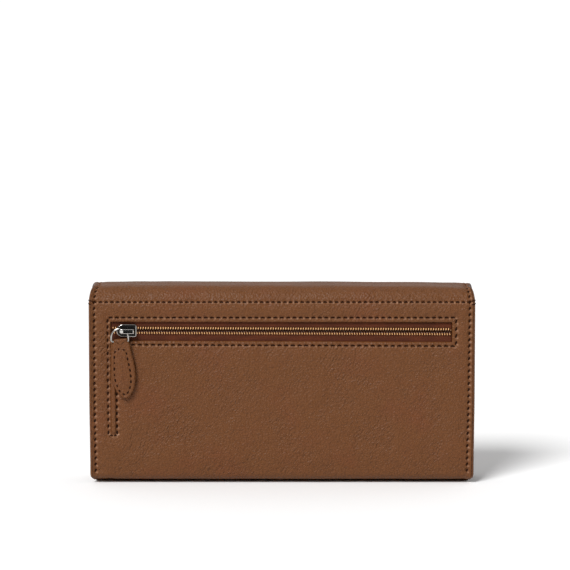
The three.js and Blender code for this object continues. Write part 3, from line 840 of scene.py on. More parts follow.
def seam_relief(x, s, seams):
    """How the leather rises near its seams, and where a highlight is painted on it. Each seam is a soft
    furrow, with a pit under each stitch, a pucker in each gap and a painted highlight spot to the lower
    right, where the light catches."""
    rise, painted_highlight = np.zeros(x.shape), np.zeros(x.shape)
    nearest = np.full(x.shape, 1e9)
    for seam in seams:
        dx, ds = x - seam.first[0], s - seam.first[1]
        along = dx * seam.along[0] + ds * seam.along[1]
        over = along - np.clip(along, 0, seam.pitch * seam.count)
        nearest = np.minimum(nearest, np.hypot(dx * seam.across[0] + ds * seam.across[1], over))
    rise -= GROOVE * np.exp(-((nearest / 0.9) ** 2))
    rise += PILLOW * (1 - np.exp(-((nearest / 3.0) ** 2)))
    for seam in seams:
        for middle in seam.middles():
            low, high = middle - STITCH_REACH, middle + STITCH_REACH
            rows = slice(*np.searchsorted(s[:, 0], (low[1], high[1])))
            columns = slice(*np.searchsorted(x[0], (low[0], high[0])))
            dx, ds = x[rows, columns] - middle[0], s[rows, columns] - middle[1]
            along = (dx * seam.ahead[0] + ds * seam.ahead[1]) / (seam.half + 0.15)
            across = dx * seam.aside[0] + ds * seam.aside[1] - seam.arch * (1 - np.minimum(along ** 2, 1))
            rise[rows, columns] -= PIT * np.exp(-(along ** 4) - (across / 0.5) ** 2)
            gap = (np.abs(along) - 1.45) / 0.45
            rise[rows, columns] += PUCKER * np.exp(-(gap ** 2) - (across / 0.8) ** 2)
            # painted highlight: a light spot at each stitch's lower right, where the light falls on the
            # pucker
            level, steep = np.abs(seam.along)
            right = dx - 0.5 * seam.pitch * level - 0.7 * steep
            below = ds + 0.3 * level + 0.9 * steep
            spot = np.exp(-((right / 0.5) ** 2) - (below / 0.42) ** 2)
            painted_highlight[rows, columns] = np.maximum(painted_highlight[rows, columns], spot)
    return rise, painted_highlight * (0.75 + 0.25 * noise2(x, s, 2.3, 14))


def back_narrow(s):
    """How much narrower than the panel the leather is at each side: at the foot, and over the top."""
    foot = 2.0 * (1 - smooth_step(s, PANEL_S - 7.5, PANEL_S - 1.5))
    foot += 0.3 * (1 - smooth_step(s, PANEL_S, s_of(45)))
    return foot + TOP_NARROWING * (1 - np.cos(np.clip((s - REAR_BEND_S) / BEND, 0, math.pi / 2)))


def back_wall(s):
    """The back wall's thickness: less at its foot, and the flap's from the flap seam on."""
    foot = 1.5 + (BACK_WALL - 1.5) * smooth_step(s, PANEL_S - 4, PANEL_S + 3)
    return foot + (FLAP_WALL - BACK_WALL) * smooth_step(s, s_of(80), s_of(91))


WINDOW_DEPTH = 2.4
WINDOW_ROLL = 0.5  # how far the window's edge rolls in, over its last millimetre


def window_relief(x, s):
    """The zip window, its floor under the zip, and how far each point lies beyond its outline."""
    beyond_x = np.maximum(WINDOW["left"] - x, x - WINDOW["right"])
    beyond_s = np.maximum(s_of(WINDOW["bottom"]) - s, s - s_of(WINDOW["top"]))
    at_corner = (beyond_x > 0) & (beyond_s > 0)
    beyond = np.where(at_corner, np.hypot(beyond_x, beyond_s), np.maximum(beyond_x, beyond_s))
    roll = -WINDOW_ROLL * np.clip(1 - beyond, 0, 1) ** 2
    return np.where(beyond < -0.01, -WINDOW_DEPTH, roll), beyond


FOOT_LEAN = 0.8
FOOT_LIFT = 1.0


def foot_relief(x, s):
    """The back leans in over its last centimetre, and its folded edge stands clear of the table, more so
    at the left end."""
    lean = FOOT_LEAN * (1 - smooth_step(s, PANEL_S - 3.5, s_of(14.0)))
    lift = FOOT_LIFT + 0.9 * smooth_step(-x, HALF - 14, HALF - 2)
    under = smooth_step(s, 1.5, 5.0) * (1 - smooth_step(s, PANEL_S - 8.5, PANEL_S - 1.0))
    return -lean * smooth_step(s, 3.0, 6.5) - lift * under


def soft_waves(x, s):
    """The slow unevenness of the leather sheet that makes the back and the flap."""
    return 0.14 * noise2(x, s, 24.0, 1) + 0.05 * noise2(x, s, 8.0, 2)


FURROW = 0.45  # depth of the furrow on each side of the strip
CREASES = 0.06  # height of the slanting creases near the zip
SIDE_WAVES = 0.13  # height of the unevenness between the side seams and the edges
EDGE_SWELL = 0.22  # how far the turned edges stand up


def back_relief(x, s):
    """The back's seams, the furrows beside the strip, the creases round the zip, the foot and the window."""
    rise, painted_highlight = seam_relief(x, s, BACK_SEAMS)
    for edge in (welt_low[0] - 0.15, welt_high[0] + 0.15):
        beside = np.exp(-(((x - edge) / 0.3) ** 2))
        inside = smooth_step(s, s_of(welt_low[2]) - 0.5, s_of(welt_low[2]) + 0.3)
        below_window = 1 - smooth_step(s, s_of(WINDOW["bottom"] - 1.4), s_of(WINDOW["bottom"] - 0.8))
        rise -= FURROW * beside * inside * below_window
    rise += soft_waves(x, s)
    near_zip = np.exp(-(((s - s_of(76)) / 11.0) ** 2)) + np.exp(-(((x + 88) / 7.0) ** 2))
    slope = (x - 0.55 * s, s + 0.55 * x)
    rise += CREASES * np.minimum(near_zip, 1) * noise2(slope[0] / 0.8, slope[1] / 2.4, 1.7, 3)
    beside = np.exp(-(((np.abs(x) - 89.5) / 4.0) ** 2))
    rise += SIDE_WAVES * beside * noise2(x / 3.0, s, 1.5, 12)
    rise += EDGE_SWELL * smooth_step(np.abs(x), HALF - 2.4, HALF - 1.5)
    rise += foot_relief(x, s) + top_sag(x, s)
    window, beyond = window_relief(x, s)
    rise = np.where(beyond < 0, window, rise * smooth_step(beyond, -0.5, 1.2) + window)
    return rise, painted_highlight * (beyond > 0)


def add_back():
    window_s = [s_of(WINDOW["bottom"]) + 0.02, s_of(WINDOW["top"]) - 0.02]
    s_marks = [FLAP_LINE, FRAME_TOP, FRAME_BOTTOM]
    s = np.unique(np.concatenate([ticks(0, PANEL_S, 0.9), ticks(PANEL_S, ARCH_S, 0.66, s_marks), window_s]))
    window_x = [WINDOW["left"] + 0.02, WINDOW["right"] - 0.02]
    x_marks = [-HALF + 2.7, HALF - 3.0, FRAME_LEFT, LEG_RIGHT, FRAME_RIGHT]
    x = np.unique(np.concatenate([ticks(-HALF + EDGE_ROLL, HALF - EDGE_ROLL, 0.5, x_marks), window_x]))
    skin = Skin(BACK_ROUTE, x, s, back_relief, back_narrow, back_wall, lambda x, s: zip_slope(x, s - s_of(0)))
    piece = skin.mesh("back_leather")
    place_piece(piece, bend=REAR_BEND, nodes=["back_panel"])
    threads = stitches("back_threads", BACK_SEAMS, skin.point)
    place_piece(threads, bend=REAR_BEND)
    back_tacks(skin)


def back_tacks(skin):
    """The flap seam's threads wrap round both side edges of the back."""
    turn = np.linspace(-0.1, 1.35, 7)
    outwards = (EDGE_ROLL + 0.05) * np.sin(turn) - 1.4 * np.clip(-turn + 0.4, 0, 1) - EDGE_ROLL + 0.1
    depth = EDGE_ROLL * (1 - np.cos(turn)) - 0.16
    for word, side in (("left", -1), ("right", 1)):
        for number, s in enumerate((FLAP_LINE - 1.2, FLAP_LINE + 0.5)):
            x = skin.warp(side * (HALF - 0.1), s) + side * outwards
            route = skin.route.lay(x, s + turn * 0.5, depth)
            piece = tube(f"back_tack_{word}_{number + 1}", route, 0.26, "thread", sides=8)
            place_piece(piece, bend=REAR_BEND)


def flap_narrow(s):
    """The flap is narrower over the top, and rounds off at its two front corners."""
    over = TOP_NARROWING * (1 - np.cos(np.clip((FLAP_S - s) / BEND, 0, math.pi / 2)))
    corner = FLAP_CORNER - EDGE_ROLL
    into = np.clip(s - (FLAP_END - FLAP_CORNER), 0, corner)
    return over + corner - np.sqrt(np.maximum(corner ** 2 - into ** 2, 0))


def flap_relief(x, s):
    rise, painted_highlight = seam_relief(x, s, FLAP_SEAMS)
    return rise + soft_waves(x, s) + top_sag(x, s), painted_highlight


def add_flap():
    corner = FLAP_END - FLAP_CORNER + (FLAP_CORNER - EDGE_ROLL) * np.sin(np.linspace(0, math.pi / 2, 14))
    s_lines = ticks(ARCH_S, FLAP_END - FLAP_CORNER, 0.75)
    s_end = ticks(FLAP_END - FLAP_CORNER, FLAP_END - EDGE_ROLL, 0.75, [FLAP_END - EDGE_INSET])
    s = np.unique(np.round(np.concatenate([s_lines, s_end, corner]), 3))
    s = s[np.concatenate([[True], np.diff(s) > 0.02])]
    x_marks = [-HALF + EDGE_INSET, HALF - EDGE_INSET]
    x = ticks(-HALF + EDGE_ROLL, HALF - EDGE_ROLL, 0.6, x_marks)
    skin = Skin(BACK_ROUTE, x, s, flap_relief, flap_narrow, lambda s: 0.0 * s + FLAP_WALL)
    piece = skin.mesh("flap_leather", end=True)
    place_piece(piece, bend=FRONT_BEND, nodes=["flap_top_leather", "flap_front_leather"])
    threads = stitches("flap_threads", FLAP_SEAMS, skin.point)
    place_piece(threads, bend=FRONT_BEND)


def front_narrow(s):
    return 2.4 - 0.9 * smooth_step(s, FRONT_S - 2.0, FRONT_S + 2.2)


def front_relief(x, s):
    rise, painted_highlight = seam_relief(x, s, FRONT_SEAMS)
    rise += 0.12 * noise2(x, s, 24.0, 4)
    lift = 0.35 * smooth_step(s, 2.5, 7.0) * (1 - smooth_step(s, FRONT_S - 3.0, FRONT_S + 1.0))
    return rise * smooth_step(s, 3.0, 9.0) - lift, painted_highlight


def add_front():
    s = ticks(0, FRONT_ROUTE.end - EDGE_ROLL, 0.85, [FRONT_LINE])
    x = ticks(-HALF + EDGE_ROLL, HALF - EDGE_ROLL, 0.7, [-HALF + FRONT_INSET, HALF - FRONT_INSET])

    def wall(s):
        return 1.5 + 0.7 * smooth_step(s, FRONT_S, FRONT_S + 6)

    skin = Skin(FRONT_ROUTE, x, s, front_relief, front_narrow, wall)
    piece = skin.mesh("front_leather", end=True)
    place_piece(piece, bend=FOOT_BEND, nodes=["bottom_fold", "front_panel"])
    threads = stitches("front_threads", FRONT_SEAMS, skin.point)
    place_piece(threads, bend=FOOT_BEND)


# ---------------------------------------------------------------- linings, inner walls and gussets
LINING_INSET = 5.0
LINING_THICK = 0.5


def add_linings():
    """Cloth on the inner side of the back and of the flap, over the turned leather edges."""
    half = HALF - LINING_INSET
    x = np.linspace(-half, half, 150)
    last = FLAP_END - LINING_INSET + 0.5
    runs = (
        ("back_lining_cloth", s_of(7.0), ARCH_S, back_wall, REAR_BEND, ["back_lining"]),
        ("flap_lining_cloth", ARCH_S, last, lambda s: 0.0 * s + FLAP_WALL, FRONT_BEND,
         ["flap_top_lining", "flap_front_lining"]),
    )
    for name, first, stop, wall, bend, nodes in runs:
        s = np.linspace(first, stop, round((stop - first) / 1.1))
        grid_x, grid_s = np.meshgrid(x, s)
        if name == "flap_lining_cloth":
            corner = FLAP_CORNER - 3.0
            into = np.clip(grid_s - (last - corner), 0, corner)
            narrow = corner - np.sqrt(np.maximum(corner ** 2 - into ** 2, 0))
            grid_x = grid_x - np.sign(grid_x) * narrow * smooth_step(np.abs(grid_x), half - 25, half)
        ripple = 0.08 * noise2(grid_x, grid_s, 13.0, 6)
        near = wall(grid_s) + 0.03
        top = BACK_ROUTE.lay(grid_x, grid_s, near)
        inner = BACK_ROUTE.lay(grid_x, grid_s, near + LINING_THICK + ripple)
        flat = np.stack([grid_x, grid_s, 0 * grid_x], -1)
        piece = slab(name, inner, top, "lining", flat)
        place_piece(piece, bend=bend, nodes=nodes)


PLATE_STEP = 0.9


def plate(name, low, high, roll, crease, ripple):
    """A flat leather-covered layer between two corners, its edges rounded by roll, with a line creased
    along it at the distance crease under its top edge."""
    half, foot, top = high[0], low[2], high[2]
    border = roll * (1 - np.cos(np.linspace(0, math.pi / 2, 5)))
    x = [-half + border, np.arange(-half + roll, half - roll, PLATE_STEP), half - border]
    z = [foot + border, ticks(foot + roll, top - roll, PLATE_STEP, [top - crease]), top - border]
    grid_x, grid_z = np.meshgrid(np.unique(np.concatenate(x)), np.unique(np.concatenate(z)))
    inset = np.minimum(np.minimum(grid_x + half, half - grid_x), np.minimum(grid_z - foot, top - grid_z))
    rounding = roll - np.sqrt(np.maximum(roll ** 2 - np.clip(roll - inset, 0, roll) ** 2, 0))
    wave = ripple * noise2(grid_x, grid_z, 18.0, len(name)) * smooth_step(inset, 0, 4)
    furrow = 0.16 * np.exp(-(((grid_z - top + crease) / 0.35) ** 2)) * smooth_step(inset, 0.5, 1.5)
    front = np.stack([grid_x, high[1] - rounding - furrow + wave, grid_z], -1)
    rear = np.stack([grid_x, low[1] + rounding + furrow + wave, grid_z], -1)
    return slab(name, rear, front, "inner")


def add_inner_walls():
    """The divider, the front section's inner wall and its three card pockets."""
    divider = ["divider_rear_leather", "divider_front_leather"]
    walls = [
        ("divider_wall", "divider", divider, 1.2, 3.0, 0.1),
        ("front_wall", "front", ["front_inner_wall"], 0.5, 2.6, 0.05),
    ]
    walls += [(f"card_pocket_{k}", "front", [f"card_slot_{k}"], 0.33, 2.2, 0.04) for k in (1, 2, 3)]
    for name, body, nodes, roll, crease, ripple in walls:
        piece = plate(name, box(nodes[0])[0], box(nodes[-1])[1], roll, crease, ripple)
        place_piece(piece, body=body, nodes=nodes)


GUSSET_HALF = 0.3  # half the gussets' thickness


def add_gussets():
    """One pleated strip at each end, from the back over the divider's edge to the front wall."""
    wall_low = box("front_inner_wall")[0]
    divider_low, divider_high = box("divider_rear_leather")[0], box("divider_front_leather")[1]
    gusset_low, gusset_high = box("gusset_rear_right")
    back_y = BACK_Y + BACK_WALL + LINING_THICK + 0.4
    outer, fold = gusset_high[0] + 0.3, gusset_low[0] + 0.8
    middle = (divider_low[1] + divider_high[1]) / 2
    corners = [
        (outer - 4, back_y), (outer, back_y + 0.1), (fold, (back_y + divider_low[1]) / 2 + 0.1),
        (outer, middle - 0.9), (outer, middle + 0.9), (fold, (divider_high[1] + wall_low[1]) / 2),
        (outer, wall_low[1] - 0.2), (outer - 4, wall_low[1] - 0.1),
    ]
    line = rounded(corners, 1.4, 6)
    line = line[5:-5]
    z = np.linspace(gusset_low[2] + 0.6, gusset_high[2], 60)
    normal = np.gradient(line, axis=0)
    normal = np.stack([normal[:, 1], -normal[:, 0]], -1)
    normal /= np.linalg.norm(normal, axis=1)[:, None]
    for word, side in (("left", -1), ("right", 1)):
        grids = []
        for offset in (GUSSET_HALF, -GUSSET_HALF):
            path = line + normal * offset
            sway = 0.35 * noise2(np.arange(len(path))[None, :] * 0.7, z[:, None], 16.0, 8 + side)
            x = side * (path[:, 0] + sway * smooth_step(outer - path[:, 0], 0.5, 4))
            y, height = np.meshgrid(path[:, 1], z)
            grids.append(np.stack([x, y, height], -1))
        if side > 0:
            grids.reverse()
        run = np.concatenate([[0], np.cumsum(np.linalg.norm(np.diff(line, axis=0), axis=1))])
        flat = np.stack([*np.meshgrid(run, z), 0 * grids[0][..., 0]], -1)
        piece = slab(f"gusset_{word}", grids[0], grids[1], "inner", flat)
        bend = ("back", "front", (0, back_y, 0), (0, wall_low[1] - 0.2, 0))
        place_piece(piece, bend=bend, nodes=[f"gusset_rear_{word}", f"gusset_front_{word}"])


STRIP_CROWN = 0.5  # how far the strip's middle stands proud


def add_strip():
    """The narrow leather strip beside the upright leg of the stitched frame."""
    middle = (welt_low[0] + welt_high[0]) / 2
    half = (welt_high[0] - welt_low[0]) / 2 + 0.1
    z = ticks(welt_low[2] - 1.2, WINDOW["bottom"] - 0.3, 0.6)
    across, heights = np.meshgrid(np.linspace(-1, 1, 11), z)
    crown = STRIP_CROWN * (1 - across ** 4) * smooth_step(heights, z[0] - 0.1, z[0] + 0.7)
    crown += 0.05 * noise2(across * 3, heights, 3.0, 5)
    places = middle + half * across
    top = np.stack([places, BACK_Y - crown, heights], -1)
    bottom = np.stack([places, np.full(crown.shape, BACK_Y + 0.7), heights], -1)
    flat = np.stack([places, heights + 3.0, 0 * heights], -1)
    piece = slab("slot_strip", top, bottom, "leather", flat)
    place_piece(piece, body="back", nodes=["slot_welt"])


# ---------------------------------------------------------------- the zip
TAPE_FRONT = box("zip_tape_upper")[0][1] - 0.25
COIL_WIRE = 0.24  # radius of the coil's nylon
TURN_RADII = (0.75, 0.86)  # half the depth and half the height of each turn
TURN_OFFSET = 0.98  # a row's middle line lies this far from the zip's
GLINT_SHIFT = 0.06  # where along its pitch a turn shows its painted gold highlight


def add_tapes():
    for word in ("upper", "lower"):
        low, high = box(f"zip_tape_{word}")
        x = ticks(WINDOW["left"], WINDOW["right"], 0.8)
        z = ticks(max(low[2], WINDOW["bottom"] - 0.2), min(high[2], WINDOW["top"] + 0.2), 0.3)
        along, across = np.meshgrid(x, z)
        wave = 0.09 * noise2(along, across * 3, 6.0, 7) + 0.03 * np.sin(across * 2 * np.pi / 1.1)
        front = np.stack([along, TAPE_FRONT - wave, across], -1)
        rear = np.stack([along, np.full(wave.shape, high[1]), across], -1)
        for grid in (front, rear):
            grid[..., 2] += zip_slope(along, ZIP_Z)
        piece = slab(f"zip_tape_{word}_cloth", front, rear, "tape")
        place_piece(piece, body="back", nodes=[f"zip_tape_{word}"])


def add_coils():
    """Two helical nylon rows whose turns mesh in the middle; the rear of each turn is sewn into the tape."""
    for word, side, lead in (("upper", 1, 0.0), ("lower", -1, 0.5)):
        low, high = box(f"zip_coil_{word}")
        start = low[0] + 0.5
        turns = round((high[0] - low[0] - 1) / COIL_PITCH)
        angle = np.linspace(0, 2 * np.pi * turns, turns * 14 + 1)
        phase = 2 * np.pi * lead
        route = np.stack([
            start + COIL_PITCH * angle / (2 * np.pi),
            low[1] + COIL_WIRE + TURN_RADII[0] * (1 - np.cos(angle + phase)),
            ZIP_Z + side * (TURN_OFFSET + TURN_RADII[1] * np.sin(angle + phase)),
        ], -1)
        rings = tube_rings(route, COIL_WIRE, 7)
        flat = rings - (start + COIL_PITCH * (lead + GLINT_SHIFT), low[1], ZIP_Z)
        rings[..., 2] += zip_slope(rings[..., 0], ZIP_Z)
        piece = build(f"zip_coil_{word}_turns", rings, tube_faces(len(route), 7), "coil", flat)
        place_piece(piece, body="back", nodes=[f"zip_coil_{word}"])


# ---------------------------------------------------------------- slider, ring and puller
def inset(outline, distance):
    """An anticlockwise outline moved inwards."""
    ahead = np.roll(outline, -1, 0) - np.roll(outline, 1, 0)
    normal = np.stack([-ahead[:, 1], ahead[:, 0]], -1)
    normal /= np.linalg.norm(normal, axis=1)[:, None]
    return outline + normal * distance


def ring_faces(rings, count, start=0, flip=False):
    """The walls between rings of count vertices each, the first of which is number start."""
    faces = []
    for here in range(start, start + (rings - 1) * count, count):
        for k in range(count):
            m = (k + 1) % count
            face = (here + k, here + m, here + count + m, here + count + k)
            faces.append(face[::-1] if flip else face)
    return faces


def prism(outline, front, back, bevel, steps=3):
    """An outline in X and Z, anticlockwise, pushed along Y with rounded edges; its front rim is kind 1."""
    outline = np.asarray(outline, float)
    count = len(outline)
    quarter = np.linspace(0, math.pi / 2, steps + 1)
    edges = [(bevel * (1 - math.sin(a)), front + bevel * (1 - math.cos(a))) for a in quarter]
    edges += [(bevel * (1 - math.sin(a)), back - bevel * (1 - math.cos(a))) for a in quarter[::-1]]
    vertices = []
    for inward, y in edges:
        ring = inset(outline, inward)
        vertices.append(np.stack([ring[:, 0], np.full(count, y), ring[:, 1]], -1))
    faces = ring_faces(len(edges), count, flip=True)
    faces.append(tuple(range(count)))
    faces.append(tuple(range(len(edges) * count - 1, (len(edges) - 1) * count - 1, -1)))
    kinds = [1] * (steps * count) + [0] * (len(faces) - steps * count)
    return np.concatenate(vertices), faces, kinds


def joined(name, parts, look, sharp):
    """One object of several closed parts, each (vertices, faces, kinds)."""
    vertices, faces, kinds = [], [], []
    for points, its_faces, its_kinds in parts:
        start = sum(len(v) for v in vertices)
        vertices.append(points)
        faces += [tuple(start + i for i in face) for face in its_faces]
        kinds += its_kinds
    return build(name, np.concatenate(vertices), faces, look, sharp=sharp, kinds=kinds)


def rounded(points, radius, steps=5):
    """A polygon's outline with each corner rounded."""
    points = np.asarray(points, float)
    out = []
    for k, p in enumerate(points):
        before, after = points[k - 1], points[(k + 1) % len(points)]
        a = p + (before - p) * min(0.5, radius / np.linalg.norm(before - p))
        b = p + (after - p) * min(0.5, radius / np.linalg.norm(after - p))
        for t in np.linspace(0, 1, steps):
            out.append((1 - t) ** 2 * a + 2 * t * (1 - t) * p + t * t * b)
    return np.array(out)


slider_low, slider_high = box("zip_slider")
SLIDER_FRONT = slider_low[1] + 2.95  # the face of the front plate, under the crown
PLATE_REAR = SLIDER_FRONT + 0.85
REAR_PLATE_FRONT = slider_high[1] - 0.7
SLIDER_CORNER = 0.9
SLIDER_HALF = (slider_high[2] - slider_low[2]) / 2
SLIDER_Z = ZIP_Z + zip_slope(slider_low[0], ZIP_Z)


def slider_outline(grow=0.0):
    """Round at the left, square with small corners at the right, anticlockwise seen from the zip side."""
    half, left, right = SLIDER_HALF + grow, slider_low[0] - grow, slider_high[0] + grow
    turn = np.linspace(0.5 * math.pi, 1.5 * math.pi, 25)
    nose = [(left + half + half * math.cos(a), SLIDER_Z + half * math.sin(a)) for a in turn]
    tail = []
    for side, start in ((-1, 1.5 * math.pi), (1, 0.0)):
        middle = SLIDER_Z + side * (half - SLIDER_CORNER)
        for a in np.linspace(start, start + 0.5 * math.pi, 6):
            x = right - SLIDER_CORNER + SLIDER_CORNER * math.cos(a)
            tail.append((x, middle + SLIDER_CORNER * math.sin(a)))
    return np.array(nose + tail)


CROWN_HALF = 1.42
CROWN_NOSE = 1.6  # length of its rounded left end, and of its right end
CROWN_TAIL = 0.4
SLOT_DEPTH = 0.8
CROWN_WIRE = 1.3  # the crown's thickness over the tunnel that the ring passes through


def quarter_round(share):
    """How high a quarter of a round stands, from 0 at its foot to 1."""
    return np.sqrt(np.clip(1 - (1 - np.clip(share, 0, 1)) ** 2, 0, 1))


def crown():
    """The bridge over the front plate: a raised rim round a sunk slot, and a rounded nose, with painted
    highlights of bright metal on the nose, the rim and the end bar.
    """
    left, right = slider_low[0] + 1.1, slider_high[0] - 0.9
    x = np.unique(np.concatenate([
        left + CROWN_NOSE * (1 - np.cos(np.linspace(0, math.pi / 2, 10))),
        np.arange(left + CROWN_NOSE, right - CROWN_TAIL, 0.22),
        right - CROWN_TAIL * (1 - np.cos(np.linspace(0, math.pi / 2, 6))),
    ]))
    v = np.sin(np.linspace(-math.pi / 2, math.pi / 2, 31))
    rise = quarter_round((x - left) / CROWN_NOSE) * quarter_round((right - x) / CROWN_TAIL)
    width = CROWN_HALF * quarter_round((x - left + 0.5) / 2.1)
    shoulder = np.sqrt(np.clip(1 - np.abs(v) ** 5, 0, 1))
    in_slot = smooth_step(x, left + 2.2, left + 2.7) * (1 - smooth_step(x, right - 1.1, right - 0.7))
    slot = SLOT_DEPTH * in_slot[:, None] * (1 - smooth_step(np.abs(v), 0.3, 0.5))[None, :]
    top = slider_low[1]
    y = SLIDER_FRONT + (top - SLIDER_FRONT) * rise[:, None] * (0.45 + 0.55 * shoulder[None, :]) + slot
    y_inner = np.full(y.shape, SLIDER_FRONT + 0.2)
    tunnel = (x > left + 2.0) & (x < right - 1.3)
    y_inner = np.where(tunnel[:, None], np.maximum(y + 0.25, top + CROWN_WIRE), y_inner)
    z = SLIDER_Z + width[:, None] * v[None, :]
    xs = np.broadcast_to(x[:, None], z.shape)
    faces = slab_faces(*z.shape)
    from_left, to_right = x[:-1, None] - left, right - x[:-1, None]
    aside = np.abs(v[:-1] + v[1:])[None, :] / 2
    # painted highlight: these faces get the bright metal
    nose = (from_left > 0.5) & (from_left < 2.3) & (aside < 0.5)
    rim = (from_left > 0.8) & (aside > 0.56) & (aside < 0.8)
    bar = (to_right > 0.25) & (to_right < 1.0) & (aside < 0.6)
    wear_and_highlight = (nose | rim | bar).astype(int).ravel().tolist()
    kinds = [0] * len(wear_and_highlight) + wear_and_highlight
    kinds += [0] * (len(faces) - len(kinds))
    vertices = np.stack([np.stack([xs, y_inner, z], -1), np.stack([xs, y, z], -1)])
    return vertices.reshape(-1, 3), faces, kinds


def add_slider():
    left, right = slider_low[0], slider_high[0]
    post = [(left + x, SLIDER_Z + z) for x, z in ((2.6, -0.22), (2.6, 0.22), (0.7, 0.22), (0.7, -0.22))]
    parts = [
        prism(slider_outline(), SLIDER_FRONT, PLATE_REAR, 0.3, 4),
        prism(slider_outline(-0.1), REAR_PLATE_FRONT, slider_high[1], 0.2),
        prism(rounded(post, 0.15), PLATE_REAR - 0.1, REAR_PLATE_FRONT + 0.1, 0.05),
        crown(),
    ]
    for side in (-1, 1):
        low, high = sorted((SLIDER_Z + side * 2.25, SLIDER_Z + side * (SLIDER_HALF - 0.05)))
        flange = [(right - 0.6, low), (right - 0.6, high), (left + 3, high), (left + 3, low)]
        parts.append(prism(rounded(flange, 0.3), PLATE_REAR - 0.2, TAPE_FRONT, 0.12))
    # kind 1, the front rims and the crown's marked faces, gets the bright metal of the painted highlights
    piece = joined("slider_body", parts, ("gunmetal", "wear_and_highlight"), sharp=40)
    place_piece(piece, body="slider", nodes=["zip_slider"])


ring_low, ring_high = box("pull_ring")
RING_Y = (ring_low[1] + ring_high[1]) / 2
RING_X = (ring_low[0] + ring_high[0]) / 2
RING_WIRE = (ring_high[1] - ring_low[1]) / 2
BAR_Z = ring_low[2] + RING_WIRE
RING_CORNER = 1.0


def add_ring():
    radius = (ring_high[0] - ring_low[0]) / 2 - RING_WIRE
    low_x, low_z = radius - RING_CORNER, BAR_Z + RING_CORNER
    line = []
    for x, z, size, start, stop, count in (
        (0, ring_high[2] - RING_WIRE - radius, radius, 0, 1, 40),
        (-low_x, low_z, RING_CORNER, 1, 1.5, 8),
        (low_x, low_z, RING_CORNER, 1.5, 2, 8),
    ):
        for a in np.linspace(start * math.pi, stop * math.pi, count):
            line.append((RING_X + x + size * math.cos(a), RING_Y, z + size * math.sin(a)))
    piece = tube("wire_ring", np.array(line), RING_WIRE, "ring", sides=16, closed=True)
    place_piece(piece, body="ring", nodes=["pull_ring"])


PULLER_TILT = math.radians(4.8)
PULLER_HALF = 1.25  # half its thickness
PULLER_RIM = 1.15  # width of its rounded rim
PULLER_SHIFT = 0.5  # the tab hangs a little to the right of the ring's middle
PULLER_PITCH = 2.9  # of its stitches


def curve(start, *spans):
    """Points along joined curves. Each span gives two handles, its end and how many points it takes."""
    points = []
    for first, second, end, count in spans:
        t = np.linspace(0, 1, count, endpoint=False)[:, None]
        shares = ((1 - t) ** 3, 3 * t * (1 - t) ** 2, 3 * t * t * (1 - t), t ** 3)
        knots = np.array([start, first, second, end], float)
        points.append(sum(share * knot for share, knot in zip(shares, knots)))
        start = end
    return np.concatenate(points)


def puller_outline():
    """The tab's edge, anticlockwise from its top left, measured from the ring's bar."""
    half = curve(
        (-3.1, 1.5),
        ((-3.4, 1.5), (-3.45, 0.6), (-3.5, -0.3), 8),
        ((-3.8, -0.5), (-4.2, -0.9), (-4.35, -1.7), 6),
        ((-5.0, -6.5), (-5.95, -11), (-5.95, -16.4), 22),
        ((-5.95, -22.6), (-2.9, -28.4), (0, -28.4), 26),
    )
    half = np.concatenate([half, [[0, -28.4]]])
    mirrored = (half * (-1, 1))[::-1][1:]
    top = np.stack([np.linspace(3.1, -3.1, 12)[1:-1], np.full(10, 1.5)], -1)
    return np.concatenate([half, mirrored, top]) + (PULLER_SHIFT, 0)


def puller_seam():
    """The stitched line inside the tab, anticlockwise from its top left."""
    return curve(
        (-2.3, -3.5),
        ((-2.9, -3.6), (-3.2, -4.1), (-3.2, -4.9), 8),
        ((-3.3, -9.5), (-4.0, -13), (-4.0, -17.2), 20),
        ((-4.0, -21.5), (-1.8, -26.7), (0.1, -26.7), 20),
        ((2.2, -26.7), (4.0, -22.0), (4.0, -17.6), 20),
        ((4.0, -13), (2.9, -9), (2.75, -4.1), 20),
        ((2.75, -3.7), (2.6, -3.5), (2.2, -3.5), 6),
        ((1.0, -3.5), (-1.0, -3.5), (-2.3, -3.5), 12),
    )


def tilted(points):
    """Points measured from the ring's bar, hung beside it at the puller's tilt."""
    x, y, z = np.moveaxis(np.asarray(points, float), -1, 0)
    c, s = math.cos(PULLER_TILT), math.sin(PULLER_TILT)
    return np.stack([RING_X + x * c - z * s, RING_Y + y, BAR_Z + x * s + z * c], -1)


def puller_height(x, z):
    """How far the tab's face stands from its middle plane, away from its rounded rim."""
    seam = puller_seam()
    far = np.min(np.hypot(x[..., None] - seam[:, 0], z[..., None] - seam[:, 1]), -1)
    middle = np.hypot(x / 3.5, (z + 15) / 11)
    swell = 0.16 * smooth_step(-middle, -1.1, -0.3)
    return PULLER_HALF - 0.3 * np.exp(-((far / 0.45) ** 2)) + swell + 0.05 * noise2(x * 4, z * 4, 9.0, 9)


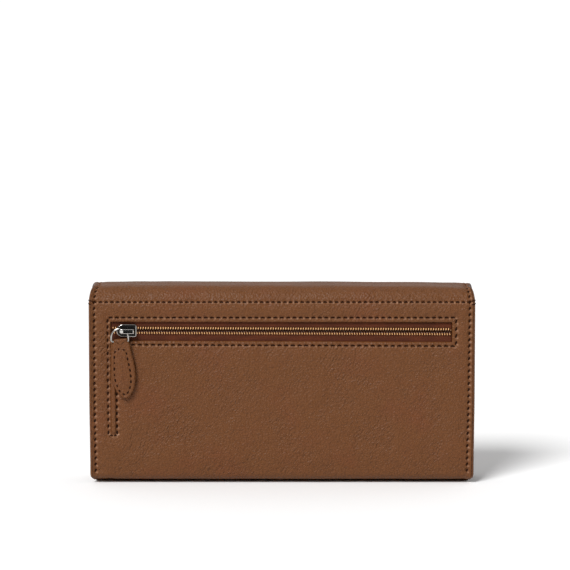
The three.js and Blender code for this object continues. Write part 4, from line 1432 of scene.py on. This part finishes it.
def puller_tab():
    """The tab's vertices, measured from the ring's bar, and its faces. Front and back meet at its edge."""
    outline = puller_outline()
    count = len(outline)
    rim = [0, 0.04, 0.15, 0.32, 0.55, 0.85, PULLER_RIM]
    rings = [inset(outline, e) for e in rim]
    core = rings[-1]
    spine = np.stack([np.full(count, PULLER_SHIFT * 0.5), np.clip(core[:, 1], -22.0, -1.5)], -1)
    shares = np.linspace(0.94, 0.04, 17)
    rings += [spine + (core - spine) * share for share in shares]
    profile = [math.sqrt(1 - (1 - e / PULLER_RIM) ** 2) for e in rim] + [1.0] * len(shares)
    vertices, faces = [], []
    for side in (-1, 1):
        start = len(vertices) * count
        for ring, share in zip(rings, profile):
            y = side * puller_height(ring[:, 0], ring[:, 1]) * share
            vertices.append(np.stack([ring[:, 0], y, ring[:, 1]], -1))
        faces += ring_faces(len(rings), count, start, flip=side > 0)
        cap = tuple(start + (len(rings) - 1) * count + k for k in range(count))
        faces.append(cap if side < 0 else cap[::-1])
    other = len(rings) * count
    faces += [((k + 1) % count, k, k + other, (k + 1) % count + other) for k in range(count)]
    return np.concatenate(vertices), faces


def add_puller():
    points, faces = puller_tab()
    piece = build("puller_leather", tilted(points), faces, "leather", points + (0, 60, 0))
    place_piece(piece, body="puller", nodes=["puller_tab"])
    seam = puller_seam()
    loop = np.concatenate([seam, seam[:1]])
    reach = np.concatenate([[0], np.cumsum(np.linalg.norm(np.diff(loop, axis=0), axis=1))])
    ends = np.linspace(0, reach[-1], round(reach[-1] / PULLER_PITCH) + 1)
    spots = np.stack([np.interp(ends, reach, loop[:, 0]), np.interp(ends, reach, loop[:, 1])], -1)
    one_stitch = 10.0  # longer than any gap between spots, so that each gap takes one stitch
    seams = [Seam(a, b, one_stitch, share=0.5, arch=0.0, thick=0.28) for a, b in zip(spots, spots[1:])]
    for word, side in (("front", -1), ("back", 1)):

        def point(x, z, up, side=side):
            return tilted(np.stack([x, side * (puller_height(x, z) + up), z], -1))

        piece = stitches(f"puller_threads_{word}", seams, point)
        place_piece(piece, body="puller")


add_back()
add_flap()
add_front()
add_linings()
add_inner_walls()
add_gussets()
add_strip()
add_tapes()
add_coils()
add_slider()
add_ring()
add_puller()


# ---------------------------------------------------------------- the frame's own pieces
CAD_LOOKS = {
    "outer_leather": "leather",
    "inner_leather": "inner",
    "lining": "lining",
    "board": "board",
    "zip_tape": "tape",
    "zip_coil": "coil",
    "gunmetal": "gunmetal",
    "ring_steel": "ring",
    "snap_steel": "snap",
}
for entry in frame["record"]["subparts"]:
    mesh = frame["nodes"][entry["node"]].data
    places = np.array([v.co for v in mesh.vertices], np.float32)
    mesh.attributes.new("flat", "FLOAT_VECTOR", "POINT").data.foreach_set("vector", places.ravel())
    mesh.materials.clear()
    mesh.materials.append(LOOKS[CAD_LOOKS[entry["material_slot"]]])
